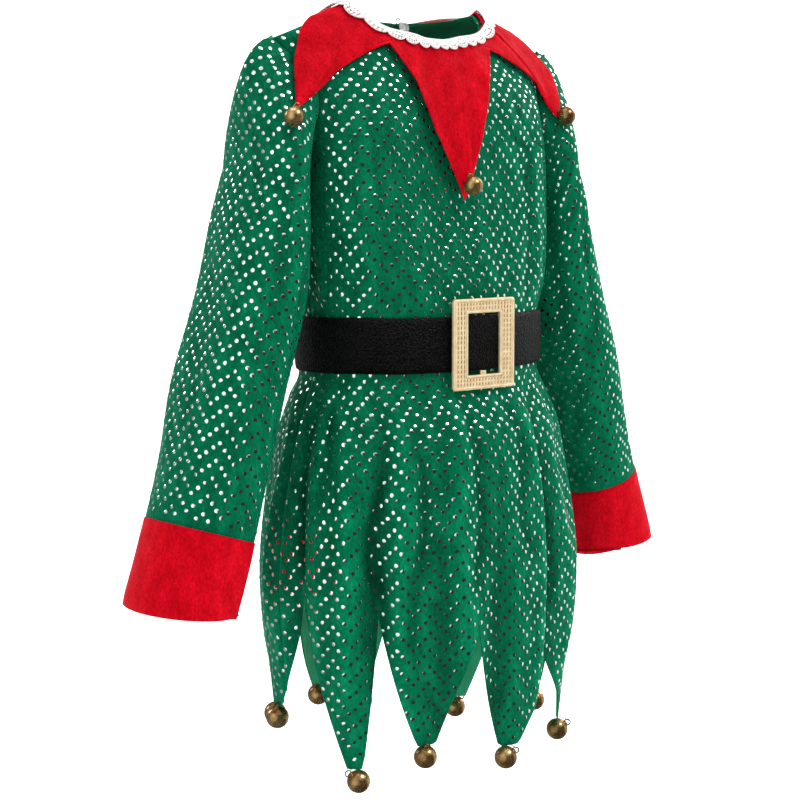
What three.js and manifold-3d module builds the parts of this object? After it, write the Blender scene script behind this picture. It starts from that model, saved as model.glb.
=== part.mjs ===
// Child's elf dress in green sequined velvet, filled out as it is worn, with its own belt.
// Millimetres, +Z up. The wearer faces -Y, the wearer's left is +X.
// The origin is the middle of the shoulder line, at the height of the side of the neck.
import * as THREE from 'three';
import { mergeVertices } from 'three/addons/utils/BufferGeometryUtils.js';
import Module from 'manifold-3d';

const wasm = await Module();
wasm.setup();

// Driving sizes
const CLOTH = 1.6;
const SEAM_GAP = 0.3;
const NECK_HALF_WIDTH = 62;
const NECK_SIDE_Z = -3;
const FRONT_NECK_DROP = 32;
const BACK_NECK_DROP = 11;
const SHOULDER_TIP = { x: 134, z: -30 };
const UNDERARM_Z = -108;
const BELT_TOP = -240;
const BELT_BOTTOM = -282;
const BELT_WALL = 2;
const BELT_EASE = 1.1;
const HEM_START = -430;
const CUFF_TOP = -389;
const CUFF_LENGTH = 57;
const COLLAR_WALL = 1.4;
const COLLAR_LIFT = 2.2;
const LACE_WALL = 1;
const LACE_WIDTH = 10;
const SCALLOP_RISE = 3;
const LACE_EASE = 0.9;
const HEM_BELL = 18;
const COLLAR_BELL = 15;
const HEM_EASE = 0.4;
const COLLAR_EASE = 0.6;
const BUCKLE = { width: 62, height: 69, windowWidth: 27, windowHeight: 47, wall: 3, corner: 3, bevel: 0.6, lift: 2 };

// Sections of the body: height, half width, depth to the front and to the back,
// how square it is (2 is an ellipse) and how far it leans back
const SECTIONS = [
  { z: 10, half: 142, front: 55, back: 50, square: 2, lean: 10 },
  { z: -30, half: 134, front: 55, back: 50, square: 2.2, lean: 10 },
  { z: -68, half: 121, front: 57, back: 53, square: 3, lean: 10 },
  { z: -108, half: 114, front: 58, back: 54, square: 3.8, lean: 10 },
  { z: -150, half: 114, front: 60, back: 56, square: 3.8, lean: 9 },
  { z: -200, half: 110, front: 66, back: 61, square: 3, lean: 5 },
  { z: -234, half: 107, front: 69, back: 68, square: 2.2, lean: 0.5 },
  { z: -244, half: 107, front: 70, back: 69, square: 2.1, lean: 0 },
  { z: -284, half: 107, front: 70, back: 69, square: 2.1, lean: 0 },
  { z: -298, half: 114, front: 72, back: 75, square: 2.1, lean: 0 },
  { z: -330, half: 125, front: 86, back: 85, square: 2.1, lean: 0 },
  { z: -383, half: 136, front: 95, back: 93, square: 2, lean: 0 },
  { z: -435, half: 141, front: 99, back: 97, square: 2, lean: 0 },
  { z: -480, half: 139, front: 99, back: 98, square: 2, lean: 0 },
  { z: -530, half: 133, front: 97, back: 96, square: 2, lean: 0 },
  { z: -590, half: 126, front: 95, back: 94, square: 2, lean: 0 },
];

// Hem points, counted round from the middle of the front to the wearer's left:
// the notch before each point, the point itself, and how far the point swings out
const HEM_POINTS = [
  { notch: -78, notchZ: -438, tip: -56, tipZ: -574, swing: 2 },
  { notch: -46, notchZ: -457, tip: -30, tipZ: -557, swing: 0 },
  { notch: -10, notchZ: -465, tip: 3, tipZ: -568, swing: 3 },
  { notch: 28, notchZ: -500, tip: 57, tipZ: -574, swing: -1 },
  { notch: 72, notchZ: -470, tip: 88, tipZ: -563, swing: -3 },
  { notch: 110, notchZ: -464, tip: 132, tipZ: -578, swing: 2 },
  { notch: 156, notchZ: -462, tip: 175, tipZ: -562, swing: -3 },
  { notch: 185, notchZ: -460, tip: 195, tipZ: -550, swing: 0 },
  { notch: 212, notchZ: -462, tip: 234, tipZ: -545, swing: -2 },
  { notch: 248, notchZ: -455, tip: 264, tipZ: -533, swing: 5 },
];

// Long skirt folds: place round the body, depth, spread in degrees, height where each begins
const FOLDS = [
  { at: -80, depth: 10, spread: 7, from: -300 },
  { at: -46, depth: 12, spread: 6, from: -300 },
  { at: -23, depth: 5, spread: 7, from: -330 },
  { at: -2, depth: 6, spread: 6, from: -300 },
  { at: 28, depth: 8, spread: 8, from: -290 },
  { at: 72, depth: 9, spread: 7, from: -300 },
  { at: 110, depth: 10, spread: 7, from: -295 },
  { at: 147, depth: 8, spread: 7, from: -320 },
  { at: 182, depth: 10, spread: 7, from: -300 },
  { at: 212, depth: 9, spread: 7, from: -295 },
  { at: 248, depth: 7, spread: 7, from: -320 },
];

// Sleeve rings: height, distance out from the middle, distance back, half sizes out and fore
const SLEEVE_RINGS = [
  { z: -126, x: 140, y: 12, out: 22, fore: 46 },
  { z: -170, x: 147, y: 12, out: 28, fore: 51 },
  { z: -230, x: 158, y: 12, out: 34, fore: 51 },
  { z: -300, x: 178, y: 12, out: 37, fore: 50 },
  { z: -350, x: 192, y: 12, out: 36, fore: 49 },
  { z: -389, x: 204, y: 12, out: 37, fore: 48 },
  { z: -446, x: 222, y: 12, out: 38, fore: 47 },
];

// Collar edge from the middle of the front round to the back opening:
// distance out on the wearer's left and right, distance back, height, steps to the next
const COLLAR_EDGE = [
  { left: -2, right: 2, y: -52, z: -146, steps: 3 },
  { left: 13, right: 27, y: -46, z: -94, steps: 2 },
  { left: 26, right: 34, y: -36, z: -64, steps: 2 },
  { left: 47, right: 47, y: -22, z: -36, steps: 3 },
  { left: 97, right: 92, y: -20, z: -57, steps: 3 },
  { left: 126, right: 138, y: -27, z: -83, steps: 3 },
  { left: 132, right: 118, y: -6, z: -49, steps: 3 },
  { left: 101, right: 97, y: 9, z: -16, steps: 4 },
  { left: 58, right: 58, y: 32, z: -17, steps: 5 },
  { left: 36, right: 36, y: 64, z: -114, steps: 6 },
  { left: 3, right: 3, y: 44, z: -24, steps: 0 },
];

const COLOURS = {
  green: { color: 0x0a6b45, roughness: 0.75, metalness: 0 },
  red: { color: 0xc8091f, roughness: 0.8, metalness: 0 },
  white: { color: 0xf2f2f0, roughness: 0.9, metalness: 0 },
  leather: { color: 0x141416, roughness: 0.45, metalness: 0 },
  gold: { color: 0xd9b36a, roughness: 0.3, metalness: 1 },
  brass: { color: 0x8a6a2c, roughness: 0.35, metalness: 1 },
};

const dress = new THREE.Group();
dress.name = 'dress';

const V = (x, y, z) => new THREE.Vector3(x, y, z);
const degrees = THREE.MathUtils.degToRad;
const lerp = THREE.MathUtils.lerp;
const smooth = THREE.MathUtils.smoothstep;

function addMesh(name, geometry, colour) {
  const mesh = new THREE.Mesh(geometry, new THREE.MeshStandardMaterial(COLOURS[colour]));
  mesh.name = name;
  dress.add(mesh);
  return mesh;
}

// A value of a table of rows at a height, on a smooth curve through the rows
function along(rows, key, z) {
  const last = rows.length - 1;
  if (z >= rows[0].z) return rows[0][key];
  if (z <= rows[last].z) return rows[last][key];
  const i = rows.findIndex((row, k) => k < last && z <= row.z && z >= rows[k + 1].z);
  const slope = (k) => {
    const before = rows[Math.max(0, k - 1)];
    const after = rows[Math.min(last, k + 1)];
    return (after[key] - before[key]) / (after.z - before.z);
  };
  const span = rows[i + 1].z - rows[i].z;
  const q = (z - rows[i].z) / span;
  const h = [2 * q ** 3 - 3 * q ** 2 + 1, q ** 3 - 2 * q ** 2 + q, 3 * q ** 2 - 2 * q ** 3, q ** 3 - q ** 2];
  return h[0] * rows[i][key] + h[1] * span * slope(i) + h[2] * rows[i + 1][key] + h[3] * span * slope(i + 1);
}

// Smallest turn between two places round the body, in degrees
function turnBetween(a, b) {
  return ((((a - b + 180) % 360) + 360) % 360) - 180;
}

function foldDepth(turn, z) {
  let depth = 0;
  for (const fold of FOLDS) {
    const off = turnBetween(turn, fold.at) / fold.spread;
    const grown = smooth(fold.from - z, 0, 190);
    depth += fold.depth * grown * Math.exp(-off * off);
  }
  return depth;
}

function tipSwing(turn, z) {
  let swing = 0;
  for (const point of HEM_POINTS) {
    const off = turnBetween(turn, point.tip) / 14;
    swing += point.swing * smooth(-z, 470, 570) * Math.exp(-off * off);
  }
  return swing;
}

// Height of the hem round the body: pointed petals with short flat ends
function hemHeight(turn) {
  const FLAT_END = 0.8;
  const CURVE = 0.78;
  for (let i = 0; i < HEM_POINTS.length; i++) {
    const point = HEM_POINTS[i];
    const next = HEM_POINTS[(i + 1) % HEM_POINTS.length];
    const inTurn = turnBetween(turn, point.notch);
    const toTip = point.tip - point.notch;
    const toNext = (next.notch - point.notch + 360) % 360;
    if (inTurn < 0 || inTurn > toNext) continue;
    const rising = inTurn <= toTip;
    const share = rising ? inTurn / toTip : (toNext - inTurn) / (toNext - toTip);
    const notchZ = rising ? point.notchZ : next.notchZ;
    return lerp(notchZ, point.tipZ, Math.min(1, share / FLAT_END) ** CURVE);
  }
  return HEM_POINTS[0].notchZ;
}

// Share of the full turn that the panels still cover beside the armhole
function armholeShare(z) {
  const middle = (SHOULDER_TIP.z + UNDERARM_Z) / 2;
  const half = (SHOULDER_TIP.z - UNDERARM_Z) / 2;
  const off = Math.abs(z - middle) / half;
  return off >= 1 ? 1 : 1 - 0.36 * Math.sqrt(1 - off * off);
}

function shoulderHeight(x) {
  const slope = (SHOULDER_TIP.z - NECK_SIDE_Z) / (SHOULDER_TIP.x - NECK_HALF_WIDTH);
  return NECK_SIDE_Z + slope * Math.max(0, Math.abs(x) - NECK_HALF_WIDTH);
}

// How full the yoke is below the shoulder line: 0 on the line, 1 where it hangs free
function yokeFullness(drop, reach, power) {
  const q = Math.min(1, Math.max(0, drop / reach));
  return (1 - (1 - q) ** 2) ** power;
}

// A point of the body's outer face. turn is in degrees at the full section.
function bodyPoint(turn, z) {
  const isBack = Math.abs(turnBetween(turn, 0)) > 90;
  const side = turnBetween(turn, isBack ? 180 : 0);
  const angle = degrees(side * armholeShare(z));
  const out = tipSwing(turn, z) - foldDepth(turn, z);
  const square = along(SECTIONS, 'square', z);
  const stretch = (Math.abs(Math.sin(angle)) ** square + Math.cos(angle) ** square) ** (-1 / square);
  const x = (along(SECTIONS, 'half', z) + out) * Math.sin(angle) * stretch * (isBack ? -1 : 1);
  const drop = shoulderHeight(x) - z;
  const fullness = isBack ? yokeFullness(drop, 80, 0.5) : yokeFullness(drop, 110, 0.75);
  const full = (along(SECTIONS, isBack ? 'back' : 'front', z) + out) * stretch;
  const depth = full * Math.cos(angle) * fullness;
  return V(x, along(SECTIONS, 'lean', z) + (isBack ? depth : -depth), z);
}

// Height where a column of the body ends above, at the neckline or on the shoulder
function topHeight(turn) {
  const isBack = Math.abs(turnBetween(turn, 0)) > 90;
  const drop = isBack ? BACK_NECK_DROP : FRONT_NECK_DROP;
  let low = -60;
  let high = 5;
  for (let k = 0; k < 40; k++) {
    const z = (low + high) / 2;
    const x = Math.abs(bodyPoint(turn, z).x);
    const inNeck = x < NECK_HALF_WIDTH;
    const scoop = NECK_SIDE_Z - (drop + NECK_SIDE_Z) * Math.sqrt(Math.max(0, 1 - (x / NECK_HALF_WIDTH) ** 2));
    const edge = inNeck ? scoop : shoulderHeight(x);
    if (z > edge) high = z;
    else low = z;
  }
  return low;
}

// Outward normals of a grid of points, rows running down and columns round to the left
function gridNormals(grid, closed) {
  const rows = grid.length;
  const cols = grid[0].length;
  const pick = (j, i) => grid[j][closed ? (i + cols) % cols : THREE.MathUtils.clamp(i, 0, cols - 1)];
  return grid.map((row, j) => row.map((point, i) => {
    const across = pick(j, i + 1).clone().sub(pick(j, i - 1));
    const down = grid[Math.min(rows - 1, j + 1)][i].clone().sub(grid[Math.max(0, j - 1)][i]);
    return down.cross(across).normalize();
  }));
}

// A wall of cloth: the grid is its outer face, the inner face lies one thickness inside.
// keep moves a point back to its own side of a seam.
function wall(grid, thickness, closed = false, keep = (p) => p) {
  const normals = gridNormals(grid, closed);
  const rows = grid.length;
  const cols = grid[0].length;
  const positions = [];
  for (const inside of [0, thickness]) {
    for (let j = 0; j < rows; j++) {
      for (let i = 0; i < cols; i++) {
        const p = keep(grid[j][i].clone().addScaledVector(normals[j][i], -inside));
        positions.push(p.x, p.y, p.z);
      }
    }
  }
  const outer = (j, i) => j * cols + (i % cols);
  const inner = (j, i) => rows * cols + outer(j, i);
  const index = [];
  const quad = (a, b, c, d) => index.push(a, b, c, a, c, d);
  const spans = closed ? cols : cols - 1;
  for (let j = 0; j < rows - 1; j++) {
    for (let i = 0; i < spans; i++) {
      quad(outer(j, i), outer(j + 1, i), outer(j + 1, i + 1), outer(j, i + 1));
      quad(inner(j, i), inner(j, i + 1), inner(j + 1, i + 1), inner(j + 1, i));
    }
    if (!closed) {
      quad(outer(j, 0), inner(j, 0), inner(j + 1, 0), outer(j + 1, 0));
      quad(outer(j, spans), outer(j + 1, spans), inner(j + 1, spans), inner(j, spans));
    }
  }
  for (let i = 0; i < spans; i++) {
    quad(outer(0, i), outer(0, i + 1), inner(0, i + 1), inner(0, i));
    quad(outer(rows - 1, i), inner(rows - 1, i), inner(rows - 1, i + 1), outer(rows - 1, i + 1));
  }
  const geometry = new THREE.BufferGeometry();
  geometry.setAttribute('position', new THREE.Float32BufferAttribute(positions, 3));
  geometry.setIndex(index);
  return geometry;
}

// Places round the body where columns stand: each hem notch and point, with even steps between
function columnTurns(from, to, largestStep) {
  const marks = [from, to];
  for (const point of HEM_POINTS) {
    for (const turn of [point.notch, point.tip]) {
      for (const lap of [-360, 0, 360]) {
        if (turn + lap > from + 1 && turn + lap < to - 1) marks.push(turn + lap);
      }
    }
  }
  marks.sort((a, b) => a - b);
  const turns = [from];
  for (let k = 1; k < marks.length; k++) {
    const parts = Math.ceil((marks[k] - marks[k - 1]) / largestStep);
    for (let n = 1; n <= parts; n++) turns.push(lerp(marks[k - 1], marks[k], n / parts));
  }
  return turns;
}

// Heights of a column from its top down to the hem
function columnHeights(turn) {
  const stops = [
    { z: topHeight(turn), steps: 7 },
    { z: UNDERARM_Z, steps: 4 },
    { z: BELT_TOP + 4, steps: 2 },
    { z: BELT_BOTTOM - 2, steps: 2 },
    { z: -310, steps: 4 },
    { z: HEM_START, steps: 4 },
    { z: hemHeight(turn), steps: 0 },
  ];
  const heights = [stops[0].z];
  for (let k = 0; k < stops.length - 1; k++) {
    for (let n = 1; n <= stops[k].steps; n++) {
      heights.push(lerp(stops[k].z, stops[k + 1].z, n / stops[k].steps));
    }
  }
  return heights;
}

function panelGrid(from, to) {
  const turns = columnTurns(from, to, 7);
  const columns = turns.map((turn) => columnHeights(turn).map((z) => bodyPoint(turn, z)));
  return columns[0].map((_, j) => columns.map((column) => column[j]));
}

// Panels: each is kept to its own side of the side, shoulder and centre back seams
const half = SEAM_GAP / 2;
const seamPlane = (p) => along(SECTIONS, 'lean', p.z);
const inFront = (p) => p.setY(Math.min(p.y, seamPlane(p) - half));
const behindLeft = (p) => p.setY(Math.max(p.y, seamPlane(p) + half)).setX(Math.max(p.x, half));
const behindRight = (p) => p.setY(Math.max(p.y, seamPlane(p) + half)).setX(Math.min(p.x, -half));
const panels = [
  addMesh('front_panel', wall(panelGrid(-90, 90), CLOTH, false, inFront), 'green'),
  addMesh('back_panel_left', wall(panelGrid(90.01, 180), CLOTH, false, behindLeft), 'green'),
  addMesh('back_panel_right', wall(panelGrid(180, 269.99), CLOTH, false, behindRight), 'green'),
];

// Sleeve rings run from the outside (0) over the front (quarter) and the underarm side
const RING_POINTS = 20;
const SEAM_CLEAR = 1.1;

function armholePoint(side, share) {
  const middle = (SHOULDER_TIP.z + UNDERARM_Z) / 2;
  const reach = (SHOULDER_TIP.z - UNDERARM_Z) / 2;
  const z = middle + reach * Math.cos(share * 2 * Math.PI);
  const turn = share <= 0.5 ? 89.99 : 90.01;
  const p = bodyPoint(turn, z);
  return V(side * (p.x + SEAM_CLEAR), p.y, p.z + SEAM_CLEAR * Math.cos(share * 2 * Math.PI));
}

function sleeveFrame(side, z) {
  const at = (h) => V(side * along(SLEEVE_RINGS, 'x', h), along(SLEEVE_RINGS, 'y', h), h);
  const down = at(z - 2).sub(at(z + 2)).normalize();
  const outward = V(side, 0, 0).addScaledVector(down, -down.x * side).normalize();
  return { centre: at(z), down, outward, fore: V(0, -1, 0).addScaledVector(down, down.y).normalize() };
}

function sleevePoint(side, share, z, extra = 0) {
  const frame = sleeveFrame(side, z);
  const angle = share * 2 * Math.PI;
  const wave = 1.2 * Math.sin(3 * angle + z / 34) * smooth(-z, 130, 180);
  const out = along(SLEEVE_RINGS, 'out', z) + wave + extra;
  const fore = along(SLEEVE_RINGS, 'fore', z) * (side > 0 ? 0.93 : 1) + wave + extra;
  return frame.centre.clone()
    .addScaledVector(frame.outward, out * Math.cos(angle))
    .addScaledVector(frame.fore, fore * Math.sin(angle));
}

// The sleeve head bends from the armhole into the hanging tube
function sleeveHeadPoint(side, share, q) {
  const start = armholePoint(side, share);
  const firstRing = SLEEVE_RINGS[0].z;
  const end = sleevePoint(side, share, firstRing);
  const reach = start.distanceTo(end);
  const lean = degrees(lerp(14, 80, 0.5 - 0.5 * Math.cos(share * 2 * Math.PI)));
  const leave = V(side * Math.cos(lean), -0.35 * Math.sin(share * 2 * Math.PI), -Math.sin(lean)).normalize();
  const arrive = sleeveFrame(side, firstRing).down;
  const LEAVE_PULL = 0.38;
  const ARRIVE_PULL = 0.42;
  const curve = new THREE.CubicBezierCurve3(
    start,
    start.clone().addScaledVector(leave, LEAVE_PULL * reach),
    end.clone().addScaledVector(arrive, -ARRIVE_PULL * reach),
    end,
  );
  return curve.getPoint(q);
}

function tubeGrid(side, rowPoint, rowCount) {
  const grid = [];
  for (let j = 0; j < rowCount; j++) {
    const row = [];
    for (let i = 0; i < RING_POINTS; i++) row.push(rowPoint(j, i / RING_POINTS));
    if (side > 0) row.reverse();
    grid.push(row);
  }
  return grid;
}

const HEAD_ROWS = 6;
const TUBE_ROWS = 9;
const sleeves = [];
for (const side of [-1, 1]) {
  const hand = side > 0 ? 'left' : 'right';
  const sleeveGrid = tubeGrid(side, (j, share) => {
    if (j < HEAD_ROWS) return sleeveHeadPoint(side, share, j / HEAD_ROWS);
    const q = (j - HEAD_ROWS) / TUBE_ROWS;
    return sleevePoint(side, share, lerp(SLEEVE_RINGS[0].z, CUFF_TOP, q));
  }, HEAD_ROWS + TUBE_ROWS + 1);
  sleeves.push(addMesh(`sleeve_${hand}`, wall(sleeveGrid, CLOTH, true), 'green'));
  const CUFF_ROWS = 4;
  const cuffGrid = tubeGrid(side, (j, share) => {
    const z = CUFF_TOP - SEAM_GAP * 1.3 - (CUFF_LENGTH * j) / (CUFF_ROWS - 1);
    return sleevePoint(side, share, z, 0.8);
  }, CUFF_ROWS);
  addMesh(`cuff_${hand}`, wall(cuffGrid, 2, true), 'red');
}

// What lies on the shoulders is placed by looking out from a point inside the chest
const CHEST = V(0, 10, -90);
const ray = new THREE.Raycaster();

function outermost(bases, direction) {
  ray.set(CHEST, direction.clone().normalize());
  return ray.intersectObjects(bases, false).pop();
}

// Neckline points sorted by their turn round the chest point
function neckline() {
  const points = [];
  for (let turn = -180; turn <= 180; turn += 0.5) {
    const p = bodyPoint(turn, topHeight(turn));
    if (Math.abs(p.x) < NECK_HALF_WIDTH + 0.5) points.push(p.sub(CHEST));
  }
  return points.map((p) => ({ turn: Math.atan2(p.x, -p.y), p })).sort((a, b) => a.turn - b.turn);
}
const NECKLINE = neckline();

function necklineAt(turn) {
  const wrapped = Math.atan2(Math.sin(turn), Math.cos(turn));
  let k = NECKLINE.findIndex((entry) => entry.turn >= wrapped);
  if (k <= 0) k = k < 0 ? NECKLINE.length - 1 : 1;
  const [before, after] = [NECKLINE[k - 1], NECKLINE[k]];
  const q = THREE.MathUtils.clamp((wrapped - before.turn) / (after.turn - before.turn), 0, 1);
  return before.p.clone().lerp(after.p, q);
}

const aim = (level, rise) => V(
  Math.cos(rise) * Math.sin(level),
  -Math.cos(rise) * Math.cos(level),
  Math.sin(rise),
);

// Reaches in a grid of looks, raised where the cloth bridges a crease between its neighbours
function bridged(reaches) {
  const at = (j, i) => reaches[Math.min(Math.max(j, 0), reaches.length - 1)][i];
  return reaches.map((row, j) => row.map((reach, i) => {
    if (i === 0 || i === row.length - 1) return reach;
    const across = (at(j, i - 1) + at(j, i + 1)) / 2;
    const down = j === 0 ? 0 : (at(j - 1, i) + at(j + 1, i)) / 2;
    return Math.max(reach, across, down);
  }));
}

// A grid from the neckline outwards to each edge point, lying on the bases
// LOOK is how far round each look the cloth also feels for what it lies on.
const LOOK = degrees(1.3);
function capeGrid(edge, rows, bases, lift, neckLift) {
  const looks = edge.map((point) => {
    const target = point.clone().sub(CHEST);
    const level = Math.atan2(target.x, -target.y);
    const start = necklineAt(level);
    return { level, start, from: Math.asin(start.z / start.length()), to: Math.asin(target.z / target.length()) };
  });
  const rises = (look, j) => lerp(look.from, look.to, j / (rows - 1));
  let reaches = [looks.map((look) => {
    const below = outermost(bases, aim(look.level, look.from - LOOK))?.distance ?? 0;
    return Math.max(look.start.length() + neckLift - lift, below);
  })];
  for (let j = 1; j < rows; j++) {
    reaches.push(looks.map((look, i) => {
      const found = [[0, 0], [LOOK, 0], [-LOOK, 0], [0, LOOK], [0, -LOOK]]
        .map(([turn, rise]) => outermost(bases, aim(look.level + turn, rises(look, j) + rise))?.distance ?? 0);
      return Math.max(...found) || reaches[j - 1][i];
    }));
  }
  for (let pass = 0; pass < 3; pass++) reaches = bridged(reaches);
  return reaches.map((row, j) => row.map((reach, i) => (
    CHEST.clone().addScaledVector(aim(looks[i].level, rises(looks[i], j)), reach + lift)
  )));
}

// The collar edge runs from the back opening over the right side and the front to the left
function collarSide(hand, side) {
  const edge = [];
  COLLAR_EDGE.forEach((key, k) => {
    const next = COLLAR_EDGE[Math.min(k + 1, COLLAR_EDGE.length - 1)];
    const from = V(side * key[hand], key.y, key.z);
    const to = V(side * next[hand], next.y, next.z);
    for (let n = 0; n < Math.max(1, key.steps); n++) edge.push(from.clone().lerp(to, n / (key.steps || 1)));
  });
  return edge;
}

function collarEdge() {
  return [...collarSide('right', -1).slice(1).reverse(), ...collarSide('left', 1)];
}

const bases = [...panels, ...sleeves];
for (const base of bases) base.material.side = THREE.DoubleSide;
const collarStand = COLLAR_LIFT + COLLAR_WALL;
const collarGrid = capeGrid(collarEdge(), 9, bases, collarStand, collarStand);
const collar = addMesh('collar', wall(collarGrid, COLLAR_WALL), 'red');
collar.material.side = THREE.DoubleSide;

// Lace strip on the collar's top edge, with round scallops
const SCALLOPS = 27;
const STEPS_IN_SCALLOP = 4;
function laceEdge() {
  const edge = [];
  const count = SCALLOPS * STEPS_IN_SCALLOP;
  for (let i = 0; i <= count; i++) {
    const turn = lerp(-176, 176, i / count);
    const start = necklineAt(degrees(turn));
    const bulge = Math.abs(Math.sin((Math.PI * i) / STEPS_IN_SCALLOP));
    const width = LACE_WIDTH - SCALLOP_RISE * (1 - bulge);
    const rise = Math.asin(start.z / start.length()) - width / start.length();
    edge.push(CHEST.clone().addScaledVector(aim(degrees(turn), rise), start.length()));
  }
  return edge;
}
const laceStand = LACE_EASE + LACE_WALL;
const laceGrid = capeGrid(laceEdge(), 3, [...bases, collar], laceStand, collarStand + laceStand);
addMesh('neck_lace', wall(laceGrid, LACE_WALL), 'white');

// Belt round the waist
const BELT_STEPS = 48;
const beltGrid = [BELT_TOP, (BELT_TOP + BELT_BOTTOM) / 2, BELT_BOTTOM].map((z) => {
  const row = [];
  for (let i = 0; i < BELT_STEPS; i++) {
    const turn = (360 * i) / BELT_STEPS;
    const p = bodyPoint(turn, BELT_BOTTOM);
    row.push(V(p.x, p.y, z).addScaledVector(V(p.x, p.y * 2, 0).normalize(), BELT_WALL + BELT_EASE));
  }
  return row;
});
addMesh('belt', wall(beltGrid, BELT_WALL, true), 'leather');

function roundedOutline(path, width, height, radius) {
  const [w, h] = [width / 2, height / 2];
  path.moveTo(-w + radius, -h);
  path.lineTo(w - radius, -h);
  path.absarc(w - radius, -h + radius, radius, -Math.PI / 2, 0);
  path.lineTo(w, h - radius);
  path.absarc(w - radius, h - radius, radius, 0, Math.PI / 2);
  path.lineTo(-w + radius, h);
  path.absarc(-w + radius, h - radius, radius, Math.PI / 2, Math.PI);
  path.lineTo(-w, -h + radius);
  path.absarc(-w + radius, -h + radius, radius, Math.PI, 1.5 * Math.PI);
  return path;
}

// Merged position-only copy, as the joining library wants it
function solidOf(geometry) {
  const bare = geometry.clone();
  bare.deleteAttribute('normal');
  bare.deleteAttribute('uv');
  const merged = mergeVertices(bare, 1e-4);
  return new wasm.Manifold(new wasm.Mesh({
    numProp: 3,
    vertProperties: merged.attributes.position.array,
    triVerts: new Uint32Array(merged.index.array),
  }));
}

function geometryOf(solid) {
  const mesh = solid.getMesh();
  const geometry = new THREE.BufferGeometry();
  geometry.setAttribute('position', new THREE.Float32BufferAttribute(mesh.vertProperties, 3));
  geometry.setIndex(Array.from(mesh.triVerts));
  return geometry;
}

// Buckle: a flat gold frame with a window, standing on the belt's front
const frameShape = roundedOutline(new THREE.Shape(), BUCKLE.width, BUCKLE.height, BUCKLE.corner);
frameShape.holes.push(roundedOutline(new THREE.Path(), BUCKLE.windowWidth, BUCKLE.windowHeight, 1.5));
const buckleGeometry = new THREE.ExtrudeGeometry(frameShape, {
  depth: BUCKLE.wall - 2 * BUCKLE.bevel,
  bevelThickness: BUCKLE.bevel,
  bevelSize: BUCKLE.bevel,
  bevelOffset: -BUCKLE.bevel,
  bevelSegments: 1,
  curveSegments: 2,
});
const beltFront = Math.min(...beltGrid[1].map((p) => p.y));
buckleGeometry.rotateX(Math.PI / 2);
buckleGeometry.translate(0, beltFront - BUCKLE.bevel, (BELT_TOP + BELT_BOTTOM) / 2 + BUCKLE.lift);
addMesh('buckle', geometryOf(solidOf(buckleGeometry)), 'gold');

// Jingle bell: a ball with a wire loop on it. aim is the direction of the loop.
function bellGeometry(size, aim) {
  const radius = size / 2;
  const ball = new THREE.SphereGeometry(radius, 11, 6);
  const loop = new THREE.TorusGeometry(radius * 0.3, radius * 0.1, 4, 8);
  loop.translate(0, radius * 1.16, 0);
  const turn = new THREE.Quaternion().setFromUnitVectors(V(0, 1, 0), aim.clone().normalize());
  const joined = geometryOf(solidOf(ball).add(solidOf(loop)));
  return joined.applyQuaternion(turn);
}

function addBell(name, size, centre, aim) {
  const geometry = bellGeometry(size, aim);
  geometry.translate(centre.x, centre.y, centre.z);
  addMesh(name, geometry, 'brass');
}

// Bells of the hem hang just under each point, their loops turned different ways
HEM_POINTS.forEach((point, k) => {
  const tip = bodyPoint(point.tip, point.tipZ);
  const inward = V(-tip.x, -tip.y, 0).normalize();
  const spot = tip.addScaledVector(inward, CLOTH / 2);
  const sideways = V(-inward.y, inward.x, 0).multiplyScalar(k % 2 ? 1 : -1);
  const centre = V(spot.x, spot.y, point.tipZ - HEM_BELL / 2 - HEM_EASE);
  addBell(`hem_bell_${k + 1}`, HEM_BELL, centre, sideways.addScaledVector(V(0, 0, 1), 0.35));
});

// Centre of a ball that rests on what lies under it, moved straight out from the chest
function restingBall(under, direction, radius) {
  const STEP = 0.1;
  const RINGS = [0, 0.35, 0.7, 0.95];
  const across = V(0, 0, 1).cross(direction).normalize();
  const upward = direction.clone().cross(across);
  let reach = outermost(under, direction).distance;
  for (let settled = false; !settled; reach += STEP) {
    settled = RINGS.every((ring) => [0, 1, 2, 3, 4, 5, 6, 7].every((k) => {
      const angle = (k * Math.PI) / 4;
      const wide = Math.asin((ring * radius) / reach);
      const look = direction.clone().multiplyScalar(Math.cos(wide))
        .addScaledVector(across, Math.sin(wide) * Math.cos(angle))
        .addScaledVector(upward, Math.sin(wide) * Math.sin(angle));
      const near = reach * Math.cos(wide) - Math.sqrt(radius ** 2 - (reach * Math.sin(wide)) ** 2);
      return (outermost(under, look)?.distance ?? 0) < near;
    }));
  }
  return CHEST.clone().addScaledVector(direction, reach);
}

// Bells of the collar lie on each collar point, a little above, below or inward of its end
const collarTips = [
  { name: 'front', key: 0, hand: 'left', side: 1, rise: 16, inward: 0 },
  { name: 'left', key: 5, hand: 'left', side: 1, rise: 0, inward: 4 },
  { name: 'right', key: 5, hand: 'right', side: -1, rise: -6, inward: 9 },
  { name: 'back_left', key: 9, hand: 'left', side: 1, rise: 3, inward: 0 },
  { name: 'back_right', key: 9, hand: 'right', side: -1, rise: 3, inward: 0 },
];
for (const { name, key, hand, side, rise, inward } of collarTips) {
  const tip = COLLAR_EDGE[key];
  const target = V(side * (tip[hand] - inward), tip.y, tip.z + rise).sub(CHEST);
  const centre = restingBall([...bases, collar], target.normalize(), COLLAR_BELL / 2 + COLLAR_EASE);
  addBell(`collar_bell_${name}`, COLLAR_BELL, centre, V(0, 0, 1).addScaledVector(target, -0.004));
}
for (const base of [...bases, collar]) base.material.side = THREE.FrontSide;

export default dress;
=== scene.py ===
"""Child's elf dress: green velvet with silver dots, red pointed collar, belt and jingle bells."""

import math

import bmesh
import bpy
import numpy as np
from mathutils import Matrix, Vector
from mathutils.bvhtree import BVHTree


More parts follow.
